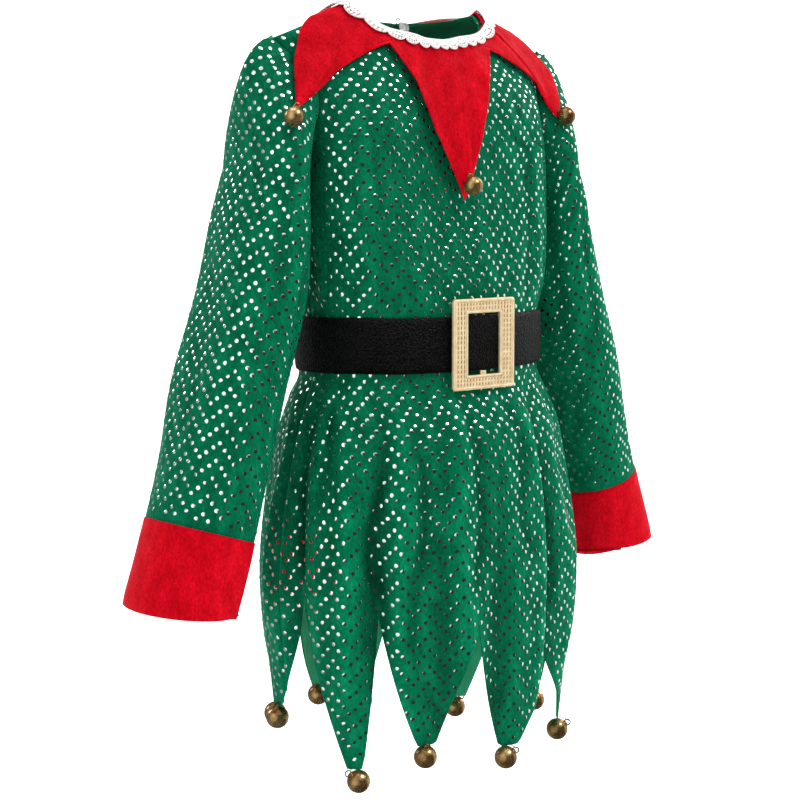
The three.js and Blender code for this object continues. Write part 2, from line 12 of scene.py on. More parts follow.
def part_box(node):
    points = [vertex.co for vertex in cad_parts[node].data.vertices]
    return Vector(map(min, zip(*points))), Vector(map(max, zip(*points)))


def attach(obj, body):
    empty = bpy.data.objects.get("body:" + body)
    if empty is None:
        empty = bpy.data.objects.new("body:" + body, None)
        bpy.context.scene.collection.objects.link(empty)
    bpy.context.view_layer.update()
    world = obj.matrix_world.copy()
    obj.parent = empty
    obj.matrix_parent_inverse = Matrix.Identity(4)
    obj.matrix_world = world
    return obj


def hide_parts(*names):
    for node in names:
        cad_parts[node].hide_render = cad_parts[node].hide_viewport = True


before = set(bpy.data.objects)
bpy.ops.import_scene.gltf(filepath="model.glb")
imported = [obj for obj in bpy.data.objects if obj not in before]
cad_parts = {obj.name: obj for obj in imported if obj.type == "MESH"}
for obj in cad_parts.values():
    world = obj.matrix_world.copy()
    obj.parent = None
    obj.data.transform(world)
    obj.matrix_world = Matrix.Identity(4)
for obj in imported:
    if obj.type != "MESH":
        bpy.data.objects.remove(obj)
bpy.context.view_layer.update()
MM = 0.001

# Pattern of the dress, in millimetres, as in the source of the solids
CLOTH = 1.2
SEAM_GAP = 0.3
NECK_HALF_WIDTH = 62
NECK_SIDE_Z = -3
FRONT_NECK_DROP = 32
BACK_NECK_DROP = 11
SHOULDER_TIP_X, SHOULDER_TIP_Z = 134, -30
UNDERARM_Z = -108
BELT_TOP = -240
BELT_BOTTOM = -282
HEM_START = -430
CUFF_TOP = -389
CUFF_LENGTH = 57
HEM_BELL = 18
COLLAR_BELL = 15
# Length round the body for each degree of turn
PER_DEGREE = 2.1
# Spread of each petal's swing in degrees, and share of the width that the armhole takes away
PETAL_SPREAD = 14
ARMHOLE_CUT = 0.36
# How soon below the shoulder the front and the back are full, and how round they start
FRONT_REACH, FRONT_POWER = 110, 0.75
BACK_REACH, BACK_POWER = 80, 0.5
# Pressed seams: half width, depth at the sides and at the centre back
SEAM_WIDTH = 1.6
SIDE_SEAM_DEPTH, BACK_SEAM_DEPTH = 0.9, 0.8
# Folds are held flat by the belt up to here, and free from there on
BELT_HOLD, BELT_FREE = 22, 44
# Creases fade out this near a side seam under the arm and this near the shoulder seam
ARM_CALM, SHOULDER_CALM = 16, 14

# Size of the grid's steps, in millimetres: coarser while only trying things out
FINE_STEP = 3.2
STEP = FINE_STEP

# Body sections: height, half width, front depth, back depth, squareness, lean back
SECTIONS = np.array([
    (10, 142, 55, 50, 2, 10), (-30, 134, 55, 50, 2.2, 10), (-68, 121, 57, 53, 3, 10),
    (-108, 114, 58, 54, 3.8, 10), (-150, 114, 60, 56, 3.8, 9), (-200, 110, 66, 61, 3, 5),
    (-234, 107, 69, 68, 2.2, 0.5), (-244, 107, 70, 69, 2.1, 0), (-284, 107, 70, 69, 2.1, 0),
    (-298, 114, 72, 75, 2.1, 0), (-330, 125, 86, 85, 2.1, 0), (-383, 136, 95, 93, 2, 0),
    (-435, 141, 99, 97, 2, 0), (-480, 139, 99, 98, 2, 0), (-530, 133, 97, 96, 2, 0),
    (-590, 126, 95, 94, 2, 0),
], dtype=float)
HALF, FRONT, BACK, SQUARE, LEAN = 1, 2, 3, 4, 5

# Hem points: notch turn, notch height, tip turn, tip height, swing outwards
HEM_POINTS = [
    (-78, -438, -56, -574, 2), (-46, -457, -30, -557, 0), (-10, -465, 3, -568, 3),
    (28, -500, 57, -574, -1), (72, -470, 88, -563, -3), (110, -464, 132, -578, 2),
    (156, -462, 175, -562, -3), (185, -460, 195, -550, 0), (212, -462, 234, -545, -2),
    (248, -455, 264, -533, 5),
]
# Long skirt folds: turn, depth, spread in degrees, height where each begins
FOLDS = [
    (-80, 10, 7, -300), (-46, 12, 6, -300), (-23, 5, 7, -330), (-2, 6, 6, -300),
    (28, 8, 8, -290), (72, 9, 7, -300), (110, 10, 7, -295), (147, 8, 7, -320),
    (182, 10, 7, -300), (212, 9, 7, -295), (248, 7, 7, -320),
]
# Sleeve rings: height, distance out, distance back, half size out, half size fore
SLEEVE_RINGS = np.array([
    (-126, 140, 12, 22, 46), (-170, 147, 12, 28, 51), (-230, 158, 12, 34, 51),
    (-300, 178, 12, 37, 50), (-350, 192, 12, 36, 49), (-389, 204, 12, 37, 48),
    (-446, 222, 12, 38, 47),
], dtype=float)
# Collar edge: distance out on the left, on the right, distance back, height, steps to the next
COLLAR_EDGE = [
    (-2, 2, -52, -146, 3), (13, 27, -46, -94, 2), (26, 34, -36, -64, 2), (47, 47, -22, -36, 3),
    (97, 92, -20, -57, 3), (126, 138, -27, -83, 3), (132, 118, -6, -49, 3), (101, 97, 9, -16, 4),
    (58, 58, 32, -17, 5), (36, 36, 64, -114, 6), (3, 3, 44, -24, 1),
]

# Creases of the body: turn and height of the start and the end, width, depth (minus is a trough)
BODY_CREASES = [
    (-78, -300, -78, -430, 6, -2.2), (-46, -298, -46, -440, 5, -2.4), (-10, -298, -10, -440, 5, -1.8),
    (28, -298, 28, -470, 5, -2.2), (72, -298, 72, -450, 5, -1.8), (110, -298, 110, -440, 5, -1.8),
    (-116, -300, -112, -420, 9, -2.6), (-100, -296, -97, -470, 8, 2.2), (-62, -300, -60, -520, 9, 2.4),
    (-68, -292, -70, -360, 6, -1.8), (-36, -300, -38, -430, 7, 1.8), (-33, -330, -29, -520, 6, -1.6),
    (-12, -296, -13, -500, 8, 2.0), (10, -298, 14, -420, 6, -1.6), (18, -296, 16, -540, 7, 2.2),
    (38, -300, 42, -520, 7, 2.0), (50, -292, 52, -400, 6, -2.0), (60, -296, 60, -520, 8, 1.8),
    (86, -300, 88, -500, 8, 2.0), (98, -296, 98, -420, 7, -1.8), (124, -300, 126, -520, 9, 2.4),
    (136, -296, 138, -440, 7, -2.0), (160, -300, 164, -520, 8, 2.0), (172, -292, 172, -380, 6, -1.6),
    (196, -298, 196, -520, 8, 2.2), (204, -296, 206, -430, 6, -1.8), (226, -298, 228, -520, 9, 2.2),
    (236, -292, 238, -400, 6, -1.8), (-12, -150, -20, -236, 9, -1.3), (8, -130, 10, -236, 10, 1.4),
    (-52, -120, -60, -236, 10, -1.8), (-42, -150, -48, -236, 8, 1.2), (34, -96, 30, -236, 6, -2.0),
    (40, -110, 38, -230, 5, 1.8), (46, -70, 50, -236, 6, -1.8), (56, -110, 60, -236, 8, 1.4),
    (30, -120, 44, -170, 5, -1.4), (-30, -196, -24, -238, 7, 1.2), (20, -200, 16, -238, 6, -1.4),
    (66, -150, 72, -236, 8, -1.8), (-74, -150, -76, -236, 9, 1.6), (108, -130, 112, -236, 9, -1.8),
    (126, -100, 132, -236, 9, 1.6), (146, -120, 142, -236, 8, -1.6), (164, -90, 160, -236, 9, 1.5),
    (194, -100, 198, -236, 9, -1.6), (214, -120, 210, -236, 8, 1.5), (232, -110, 236, -236, 8, -1.8),
    (250, -140, 246, -236, 9, 1.6), (-88, -200, -60, -238, 8, 1.2), (88, -200, 66, -238, 7, 1.2),
]
# Creases of the sleeves: share round and height at each end, width, depth
SLEEVE_CREASES = [
    (0.05, -100, 0.16, -170, 7, -1.6), (0.12, -130, 0.2, -220, 6, 1.4), (0.2, -150, 0.24, -260, 7, -1.6),
    (0.28, -180, 0.3, -330, 8, 1.5), (0.36, -160, 0.34, -260, 7, -1.8), (0.44, -150, 0.4, -230, 7, 1.4),
    (0.08, -250, 0.14, -360, 9, 1.4), (0.0, -200, 0.02, -330, 9, -1.4), (0.2, -300, 0.17, -384, 7, -1.5),
    (0.3, -340, 0.34, -386, 6, 1.2), (0.62, -170, 0.6, -300, 9, -1.6), (0.7, -140, 0.74, -280, 8, 1.5),
    (0.8, -200, 0.82, -360, 9, -1.6), (0.9, -150, 0.9, -300, 9, 1.4), (0.5, -250, 0.52, -380, 8, 1.4),
    (0.94, -320, 0.96, -386, 8, -1.2), (0.42, -280, 0.44, -380, 6, -1.4), (0.12, -366, 0.3, -384, 5, 1.0),
]


def smooth(value, low, high):
    """0 below low, 1 above high, with a soft change between."""
    share = np.clip((value - low) / (high - low), 0, 1)
    return share * share * (3 - 2 * share)


def along(table, column, z):
    """A column of a table at heights z, on a smooth curve through its rows."""
    z = np.asarray(z, dtype=float)
    heights, values = table[:, 0], table[:, column]
    last = len(heights) - 1
    before = np.maximum(np.arange(last + 1) - 1, 0)
    after = np.minimum(np.arange(last + 1) + 1, last)
    slopes = (values[after] - values[before]) / (heights[after] - heights[before])
    z = np.clip(z, heights[-1], heights[0])
    row = np.clip(np.searchsorted(-heights, -z, side="right") - 1, 0, last - 1)
    span = heights[row + 1] - heights[row]
    q = (z - heights[row]) / span
    return (
        (2 * q**3 - 3 * q**2 + 1) * values[row]
        + (q**3 - 2 * q**2 + q) * span * slopes[row]
        + (3 * q**2 - 2 * q**3) * values[row + 1]
        + (q**3 - q**2) * span * slopes[row + 1]
    )


def turn_between(a, b):
    return (a - b + 180) % 360 - 180


def body_out(turn, z):
    """How far the hem points swing out less how deep the long folds are."""
    out = 0.0
    for _, _, tip, _, swing in HEM_POINTS:
        out = out + swing * smooth(-z, 470, 570) * np.exp(-((turn_between(turn, tip) / PETAL_SPREAD) ** 2))
    for at, depth, spread, start in FOLDS:
        out = out - depth * smooth(start - z, 0, 190) * np.exp(-((turn_between(turn, at) / spread) ** 2))
    return out


def hem_height(turn):
    """Height of the hem: pointed petals with short flat ends."""
    flat_end, curve = 0.8, 0.78
    turn = np.asarray(turn, dtype=float)
    height = np.zeros_like(turn)
    for k, (notch, notch_z, tip, tip_z, _) in enumerate(HEM_POINTS):
        after, after_z = HEM_POINTS[(k + 1) % len(HEM_POINTS)][:2]
        span = (after - notch) % 360
        inside = (turn - notch) % 360
        rising = inside <= tip - notch
        share = np.where(rising, inside / (tip - notch), (span - inside) / (span - tip + notch))
        start = np.where(rising, notch_z, after_z)
        share = np.minimum(1, np.maximum(share, 0) / flat_end) ** curve
        height = np.where(inside <= span, start + (tip_z - start) * share, height)
    return height


def armhole_share(z):
    middle = (SHOULDER_TIP_Z + UNDERARM_Z) / 2
    off = np.abs(z - middle) / ((SHOULDER_TIP_Z - UNDERARM_Z) / 2)
    return 1 - ARMHOLE_CUT * np.sqrt(np.maximum(0, 1 - off**2))


def shoulder_height(x):
    slope = (SHOULDER_TIP_Z - NECK_SIDE_Z) / (SHOULDER_TIP_X - NECK_HALF_WIDTH)
    return NECK_SIDE_Z + slope * np.maximum(0, np.abs(x) - NECK_HALF_WIDTH)


def body_point(turn, z):
    """Points of the body's outer face."""
    turn, z = np.broadcast_arrays(np.asarray(turn, float), np.asarray(z, float))
    front = turn_between(turn, 0)
    is_back = np.abs(front) > 90
    angle = np.radians(np.where(is_back, turn_between(turn, 180), front) * armhole_share(z))
    out = body_out(turn, z)
    square = along(SECTIONS, SQUARE, z)
    cosine = np.maximum(np.cos(angle), 0)
    stretch = (np.abs(np.sin(angle)) ** square + cosine**square) ** (-1 / square)
    x = (along(SECTIONS, HALF, z) + out) * np.sin(angle) * stretch * np.where(is_back, -1, 1)
    drop = shoulder_height(x) - z
    reach = np.where(is_back, BACK_REACH, FRONT_REACH)
    power = np.where(is_back, BACK_POWER, FRONT_POWER)
    fullness = (1 - (1 - np.clip(drop / reach, 0, 1)) ** 2) ** power
    depth = (np.where(is_back, along(SECTIONS, BACK, z), along(SECTIONS, FRONT, z)) + out) * stretch
    depth = depth * cosine * fullness
    return np.stack([x, along(SECTIONS, LEAN, z) + np.where(is_back, depth, -depth), z], axis=-1)


def top_height(turn):
    """Height where a column of the body ends above, at the neckline or on the shoulder."""
    turn = np.asarray(turn, dtype=float)
    drop = np.where(np.abs(turn_between(turn, 0)) > 90, BACK_NECK_DROP, FRONT_NECK_DROP)
    low, high = np.full_like(turn, -60), np.full_like(turn, 5)
    for _ in range(40):
        z = (low + high) / 2
        x = np.abs(body_point(turn, z)[..., 0])
        scoop = NECK_SIDE_Z - (drop + NECK_SIDE_Z) * np.sqrt(np.maximum(0, 1 - (x / NECK_HALF_WIDTH) ** 2))
        edge = np.where(x < NECK_HALF_WIDTH, scoop, shoulder_height(x))
        high = np.where(z > edge, z, high)
        low = np.where(z > edge, low, z)
    return low


def grid_normals(grid, closed):
    """Outward normals of a grid of points, rows running down and columns round to the left."""
    if closed:
        across = np.roll(grid, -1, axis=1) - np.roll(grid, 1, axis=1)
    else:
        across = np.gradient(grid, axis=1)
    normals = np.cross(np.gradient(grid, axis=0), across)
    return normals / np.maximum(np.linalg.norm(normals, axis=-1, keepdims=True), 1e-9)


def crease_relief(s, z, creases, taper=26):
    """Soft troughs and ridges along short wavy lines. s and the lines are in millimetres."""
    relief = np.zeros_like(s)
    for k, (s0, z0, s1, z1, width, depth) in enumerate(creases):
        run = np.array([s1 - s0, z1 - z0])
        length = np.linalg.norm(run)
        run = run / length
        t = (s - s0) * run[0] + (z - z0) * run[1]
        bend = 0.04 * length * np.sin(math.pi * np.clip(t / length, 0, 1) * (1 + k % 2))
        off = (s - s0) * run[1] - (z - z0) * run[0] + bend * (1 if k % 3 else -1)
        ends = smooth(t, -taper, taper) * (1 - smooth(t, length - taper, length + taper))
        relief += depth * ends * np.exp(-((off / width) ** 2))
    return relief


def slow_waves(s, z, seed, size):
    """Faint uneven waves of hanging cloth."""
    draw = np.random.default_rng(seed)
    relief = np.zeros_like(s)
    for _ in range(7):
        kx, kz = draw.uniform(-0.07, 0.07), draw.uniform(-0.035, 0.035)
        relief += np.sin(kx * s + kz * z + draw.uniform(0, 2 * math.pi))
    return relief * size / 7


def placed(name, data):
    """A new object of the scene."""
    made = bpy.data.objects.new(name, data)
    bpy.context.collection.objects.link(made)
    return made


def mesh_object(name, points, faces, material, face_uv=None):
    """An object of points in millimetres, smooth, with its finish."""
    mesh = bpy.data.meshes.new(name)
    mesh.from_pydata((np.asarray(points) * MM).tolist(), [], faces)
    mesh.polygons.foreach_set("use_smooth", [True] * len(mesh.polygons))
    if face_uv is not None:
        layer = mesh.uv_layers.new(name="cloth")
        corner = np.zeros(len(mesh.loops), dtype=np.int32)
        mesh.loops.foreach_get("vertex_index", corner)
        layer.data.foreach_set("uv", face_uv[corner].astype(np.float32).ravel())
    mesh.materials.append(material)
    mesh.update()
    return placed(name, mesh)


# How far to each side a crease is looked for and how deep a full one is, for the painted shade in creases and
# painted highlight on ridges, and how far a rim bulges
FOLD_REACH = 13
FOLD_FULL = 3.2
RIM_BULGE = 0.35


def crease_shade_share(grid, normals, closed):
    """How far each place stands out (plus) or lies in (minus) of the cloth beside it, -1 to 1: the measure
    for painted highlight on ridges and painted shade in creases.
    """
    gap = np.median(np.linalg.norm(np.diff(grid, axis=1), axis=-1))
    reach = max(1, round(FOLD_REACH / gap))
    padded = np.pad(grid, ((0, 0), (reach + 1, reach), (0, 0)), mode="wrap" if closed else "edge")
    total = np.cumsum(padded, axis=1)
    beside = (total[:, 2 * reach + 1:] - total[:, :-2 * reach - 1]) / (2 * reach + 1)
    return np.clip(((grid - beside) * normals).sum(axis=-1) / FOLD_FULL, -1, 1)


def shell(name, grid, thickness, material, closed=False, keep=None, lining=None, uv=None):
    """A wall of cloth inside a grid of its outer face, with a rounded rim.

    keep holds points on their side of a seam, and lining is the finish of the inner face.
    """
    keep = keep or np.copy
    normals = grid_normals(grid, closed)
    rows, cols = grid.shape[:2]
    count = rows * cols
    points = np.concatenate([keep(grid).reshape(-1, 3), keep(grid - normals * thickness).reshape(-1, 3)])
    spans = cols if closed else cols - 1
    j, i = np.meshgrid(np.arange(rows - 1), np.arange(spans), indexing="ij")
    a, b = j * cols + i, (j + 1) * cols + i
    c, d = (j + 1) * cols + (i + 1) % cols, j * cols + (i + 1) % cols
    outer = np.stack([a, b, c, d], axis=-1).reshape(-1, 4)
    inner = (np.stack([a, d, c, b], axis=-1) + count).reshape(-1, 4)
    top, low = np.arange(cols), (rows - 1) * cols + np.arange(cols)
    if closed:
        loops = [top, low[::-1]]
    else:
        left, right = np.arange(rows) * cols, np.arange(rows) * cols + cols - 1
        loops = [np.concatenate([top, right[1:], low[::-1][1:], left[::-1][1:-1]])]
    rim_faces = []
    extra = []
    for loop in loops:
        out_points, in_points = points[loop], points[loop + count]
        middle = (out_points + in_points) / 2
        run = np.roll(middle, -1, axis=0) - np.roll(middle, 1, axis=0)
        through = out_points - in_points
        away = np.cross(through, run)
        away /= np.maximum(np.linalg.norm(away, axis=1, keepdims=True), 1e-9)
        first = count * 2 + sum(len(e) for e in extra)
        size = len(loop)
        extra.append(keep(middle + away * RIM_BULGE * thickness))
        for n in range(size):
            m = (n + 1) % size
            rim_faces.append((loop[n], loop[m], first + m, first + n))
            rim_faces.append((first + n, first + m, loop[m] + count, loop[n] + count))
    points = np.concatenate([points] + extra)
    faces = outer.tolist() + inner.tolist() + [tuple(int(v) for v in f) for f in rim_faces]
    point_uv = None
    if uv is not None:
        flat = uv.reshape(-1, 2)
        point_uv = np.concatenate([flat, flat] + [flat[loop] for loop in loops])
    made = mesh_object(name, points, faces, material, point_uv)
    if lining is not None:
        made.data.materials.append(lining)
        index = np.zeros(len(faces), dtype=np.int32)
        index[len(outer):len(outer) + len(inner)] = 1
        made.data.polygons.foreach_set("material_index", index)
    # Stored for painted shade in creases and painted highlight on ridges; the inner face gets the opposite
    folds = crease_shade_share(grid, normals, closed).reshape(-1)
    folds = np.concatenate([folds, -folds] + [folds[loop] for loop in loops])
    attribute = made.data.attributes.new("fold", "FLOAT", "POINT")
    attribute.data.foreach_set("value", folds.astype(np.float32))
    return made


def surface_lengths(grid):
    """Lengths in millimetres over the cloth: across from the first column, down each column."""
    steps = np.linalg.norm(np.diff(grid, axis=1), axis=-1)
    across = np.concatenate([np.zeros((len(grid), 1)), np.cumsum(steps, axis=1)], axis=1)
    falls = np.linalg.norm(np.diff(grid, axis=0), axis=-1)
    down = np.concatenate([np.zeros((1, grid.shape[1])), np.cumsum(falls, axis=0)], axis=0)
    return across, down


def flat_uv(grid):
    """The cloth's own map, straight from its lengths."""
    across, down = surface_lengths(grid)
    return np.stack([across, -down], axis=-1) * MM


def lengths_down(points, out, places):
    """Lengths down a surface along lines at fixed places out from its middle."""
    level = np.array([[np.interp(places, out[k], points[k, :, n]) for n in range(3)]
                      for k in range(len(points))])
    falls = np.linalg.norm(np.diff(level, axis=0), axis=1)
    return np.concatenate([np.zeros((1, len(places))), np.cumsum(falls, axis=0)], axis=0)


# Finishes
def linear(hex_colour):
    """A colour of the eye as a colour of light."""
    parts = [int(hex_colour[k:k + 2], 16) / 255 for k in (0, 2, 4)]
    return tuple(c / 12.92 if c <= 0.04045 else ((c + 0.055) / 1.055) ** 2.4 for c in parts) + (1,)


class Finish:
    """A material with a plain shader and short ways to add to it."""

    def __init__(self, name, roughness, metallic=0.0, **constants):
        self.material = bpy.data.materials.new(name)
        self.material.use_nodes = True
        self.tree = self.material.node_tree
        self.shader = self.tree.nodes["Principled BSDF"]
        self.shader.inputs["Roughness"].default_value = roughness
        self.shader.inputs["Metallic"].default_value = metallic
        for socket, value in constants.items():
            self.shader.inputs[socket.replace("_", " ")].default_value = value

    def node(self, kind, **settings):
        made = self.tree.nodes.new(kind)
        for key, value in settings.items():
            if key in made.inputs:
                made.inputs[key].default_value = value
            else:
                setattr(made, key, value)
        return made

    def link(self, out, socket):
        self.tree.links.new(out, socket)

    def place(self, stretch=(1, 1, 1), cloth=False):
        """Object coordinates, or the cloth's own map, stretched."""
        if cloth:
            start = self.node("ShaderNodeUVMap", uv_map="cloth").outputs["UV"]
        else:
            start = self.node("ShaderNodeTexCoord").outputs["Object"]
        mapping = self.node("ShaderNodeMapping", Scale=stretch)
        self.link(start, mapping.inputs["Vector"])
        return mapping.outputs["Vector"]

    def noise(self, where, scale, detail=2.0, rough=0.55):
        made = self.node("ShaderNodeTexNoise", Scale=scale, Detail=detail, Roughness=rough)
        self.link(where, made.inputs["Vector"])
        return made.outputs["Fac"]

    def ramp(self, value, stops):
        made = self.node("ShaderNodeValToRGB")
        band = made.color_ramp
        while len(band.elements) < len(stops):
            band.elements.new(0.5)
        for element, (at, colour) in zip(band.elements, stops):
            element.position = at
            element.color = colour if len(colour) == 4 else tuple(colour) + (1,)
        self.link(value, made.inputs["Fac"])
        return made.outputs["Color"]

    def folds(self):
        """Painted shade and highlight: the base colour is made darker in creases and lighter on ridges."""
        fold = self.node("ShaderNodeAttribute", attribute_name="fold")
        made = self.node("ShaderNodeMapRange")
        for socket, value in (("From Min", -1), ("From Max", 1), ("To Min", 0.4), ("To Max", 1.4)):
            made.inputs[socket].default_value = value
        self.link(fold.outputs["Fac"], made.inputs["Value"])
        return made.outputs["Result"]

    def grey(self, value, low_at, low, high_at, high):
        return self.ramp(value, [(low_at, (low,) * 3), (high_at, (high,) * 3)])

    def mixed(self, factor, first, second, mode="MIX"):
        made = self.node("ShaderNodeMix", data_type="RGBA", blend_type=mode)
        if isinstance(factor, float):
            made.inputs[0].default_value = factor
        else:
            self.link(factor, made.inputs[0])
        for socket, value in ((made.inputs[6], first), (made.inputs[7], second)):
            if isinstance(value, tuple):
                socket.default_value = value
            else:
                self.link(value, socket)
        return made.outputs[2]

    def bump(self, layers):
        """Bumps on one another: height, strength, distance in millimetres."""
        below = None
        for height, strength, distance in layers:
            made = self.node("ShaderNodeBump", Strength=strength, Distance=distance * MM)
            self.link(height, made.inputs["Height"])
            if below is not None:
                self.link(below, made.inputs["Normal"])
            below = made.outputs["Normal"]
        self.link(below, self.shader.inputs["Normal"])


def velvet(name, dark, middle, light, tint, sheen, cloth):
    """Short pile: crushed patches that lie different ways, fine pile, soft sheen, and painted shade in
    creases with painted highlight on ridges.
    """
    made = Finish(name, 0.72, Sheen_Weight=sheen, Sheen_Roughness=0.38, Sheen_Tint=tint,
                  Specular_IOR_Level=0.03)
    along_pile = made.place((1, 0.45, 1), cloth=True) if cloth else made.place((1, 1, 0.6))
    patches = made.noise(along_pile, 95, 3, 0.6)
    flecks = made.noise(along_pile, 620, 2, 0.7)
    pile = made.noise(made.place(), 1900, 1, 0.5)
    base = made.ramp(patches, [(0.3, dark), (0.52, middle), (0.74, light)])
    speck = made.grey(flecks, 0.35, 0.72, 0.68, 1.22)
    # Base colour times the painted crease shade and ridge highlight
    made.link(made.mixed(1.0, made.mixed(1.0, base, speck, "MULTIPLY"), made.folds(), "MULTIPLY"),
              made.shader.inputs["Base Color"])
    made.link(made.grey(patches, 0.3, 0.82, 0.7, 0.6), made.shader.inputs["Roughness"])
    made.bump([(patches, 0.25, 0.5), (flecks, 0.35, 0.25), (pile, 0.3, 0.12)])
    return made.material


GREEN_VELVET = velvet("green_velvet", linear("004f33"), linear("005f40"), linear("02704c"),
                      (0.0, 1.0, 0.6, 1), 0.12, True)
RED_VELVET = velvet("red_velvet", linear("ac0212"), linear("bb0316"), linear("c8051c"),
                    (1.0, 0.03, 0.08, 1), 0.1, False)


def lining_finish_painted_light():
    """Plain green knit on the inside of the cloth, in a lighter green than the velvet as painted light on the
    shaded inside.
    """
    made = Finish("green_lining", 0.8, Sheen_Weight=0.1, Sheen_Roughness=0.5, Sheen_Tint=(0.1, 1, 0.6, 1))
    where = made.place(cloth=True)
    knit = made.node("ShaderNodeTexWave", wave_type="BANDS", bands_direction="X", Scale=420, Distortion=0.6)
    made.link(where, knit.inputs["Vector"])
    tone = made.noise(where, 60, 2)
    # The knit's green raised to lighter tones: painted light for the inside of the dress
    made.link(made.ramp(tone, [(0.3, linear("0a7a50")), (0.7, linear("0d8c60"))]),
              made.shader.inputs["Base Color"])
    made.bump([(knit.outputs["Fac"], 0.25, 0.15), (tone, 0.2, 0.6)])
    return made.material


GREEN_LINING_PAINTED_LIGHT = lining_finish_painted_light()


def lace_finish():
    made = Finish("white_lace", 0.85, Sheen_Weight=0.2, Sheen_Roughness=0.5)
    where = made.place()
    threads = made.node("ShaderNodeTexVoronoi", feature="F1", Scale=1500, Randomness=0.7)
    made.link(where, threads.inputs["Vector"])
    tone = made.noise(where, 250, 2)
    made.link(made.ramp(tone, [(0.3, (0.62, 0.62, 0.61)), (0.65, (0.82, 0.82, 0.81))]),
              made.shader.inputs["Base Color"])
    made.bump([(threads.outputs["Distance"], 0.5, 0.3)])
    return made.material


WHITE_LACE = lace_finish()


def leather_finish():
    """Black imitation leather with an even pebble grain, its colour lighter on the pebbles as painted
    highlight and darker in the grooves as painted shade.
    """
    made = Finish("belt_leather", 0.4, Specular_IOR_Level=0.1)
    where = made.place()
    grain = made.node("ShaderNodeTexVoronoi", feature="SMOOTH_F1", Scale=680, Smoothness=0.3, Randomness=0.9)
    warp = made.node("ShaderNodeVectorMath", operation="ADD")
    shift = made.node("ShaderNodeTexNoise", Scale=300, Detail=1.0)
    made.link(where, shift.inputs["Vector"])
    small = made.node("ShaderNodeVectorMath", operation="SCALE", Scale=0.0012)
    made.link(shift.outputs["Color"], small.inputs[0])
    made.link(where, warp.inputs[0])
    made.link(small.outputs["Vector"], warp.inputs[1])
    made.link(warp.outputs["Vector"], grain.inputs["Vector"])
    worn = made.noise(where, 40, 3)
    pebble = grain.outputs["Distance"]
    tone = made.ramp(worn, [(0.3, (0.0016, 0.0016, 0.0018)), (0.7, (0.0036, 0.0036, 0.004))])
    # Painted highlight on each pebble's top and painted shade in the grooves between
    made.link(made.mixed(1.0, tone, made.grey(pebble, 0.1, 2.0, 0.6, 0.3), "MULTIPLY"),
              made.shader.inputs["Base Color"])
    made.link(made.grey(pebble, 0.1, 0.34, 0.6, 0.52), made.shader.inputs["Roughness"])
    made.bump([(worn, 0.15, 1.0), (pebble, 1.0, 0.9)])
    return made.material


BELT_LEATHER = leather_finish()


def metal_finish(name, stops, smoothest, roughest, patch_scale, dents, metallic):
    """Metal whose tone and polish change in soft patches."""
    made = Finish(name, smoothest, metallic)
    where = made.place()
    patches = made.noise(where, patch_scale, 4, 0.6)
    fine = made.noise(where, patch_scale * 9, 2, 0.5)
    made.link(made.ramp(patches, stops), made.shader.inputs["Base Color"])
    made.link(made.grey(fine, 0.35, smoothest, 0.65, roughest), made.shader.inputs["Roughness"])
    made.bump([(patches, 0.2, dents), (fine, 0.12, dents * 0.4)])
    return made.material


# Tones of the patches, from the deepest to the lightest
GOLD_TONES = [(0.3, (0.72, 0.52, 0.27)), (0.55, (0.84, 0.66, 0.4)), (0.75, (0.92, 0.78, 0.53))]
# A darker copy of the gold, as painted shade for the bed behind the buckle's slots
PAINTED_SHADE_TONES = [(0.3, (0.2, 0.12, 0.05)), (0.7, (0.33, 0.21, 0.1))]
BRASS_TONES = [(0.34, (0.16, 0.09, 0.032)), (0.55, (0.32, 0.2, 0.075)), (0.72, (0.55, 0.38, 0.17))]
GOLD_PLATE = metal_finish("gold_plate", GOLD_TONES, 0.3, 0.45, 160, 0.2, 0.35)
PAINTED_SHADE_GOLD = metal_finish("gold_shade", PAINTED_SHADE_TONES, 0.35, 0.5, 200, 0.2, 0.6)
BELL_BRASS = metal_finish("antique_brass", BRASS_TONES, 0.18, 0.3, 90, 0.12, 0.85)


def foil_finish():
    """Silver foil of the dots."""
    made = Finish("silver_foil", 0.1, 1.0)
    where = made.place()
    patches = made.noise(where, 130, 2)
    made.link(made.ramp(patches, [(0.35, (0.66, 0.78, 0.73)), (0.65, (0.86, 0.95, 0.91))]),
              made.shader.inputs["Base Color"])
    made.link(made.grey(made.noise(where, 500, 1), 0.35, 0.08, 0.7, 0.24), made.shader.inputs["Roughness"])
    return made.material


SILVER_FOIL = foil_finish()


def thread_finish(name, colour):
    made = Finish(name, 0.75, Sheen_Weight=0.3)
    twist = made.noise(made.place(), 2400, 1)
    shade = tuple(c * 0.6 for c in colour[:3]) + (1,)
    made.link(made.ramp(twist, [(0.35, shade), (0.65, colour)]), made.shader.inputs["Base Color"])
    made.bump([(twist, 0.4, 0.1)])
    return made.material


GREEN_THREAD = thread_finish("green_thread", linear("0a6b45"))
RED_THREAD = thread_finish("red_thread", linear("c00a1c"))


# Body panels
def column_turns(start, end, largest):
    marks = {start, end}
    for notch, _, tip, _, _ in HEM_POINTS:
        for turn in (notch, tip):
            marks.update(turn + lap for lap in (-360, 0, 360) if start + 1 < turn + lap < end - 1)
    marks = sorted(marks)
    turns = [start]
    for low, high in zip(marks, marks[1:]):
        parts = math.ceil((high - low) / largest)
        turns += [low + (high - low) * n / parts for n in range(1, parts + 1)]
    return np.array(turns, dtype=float)


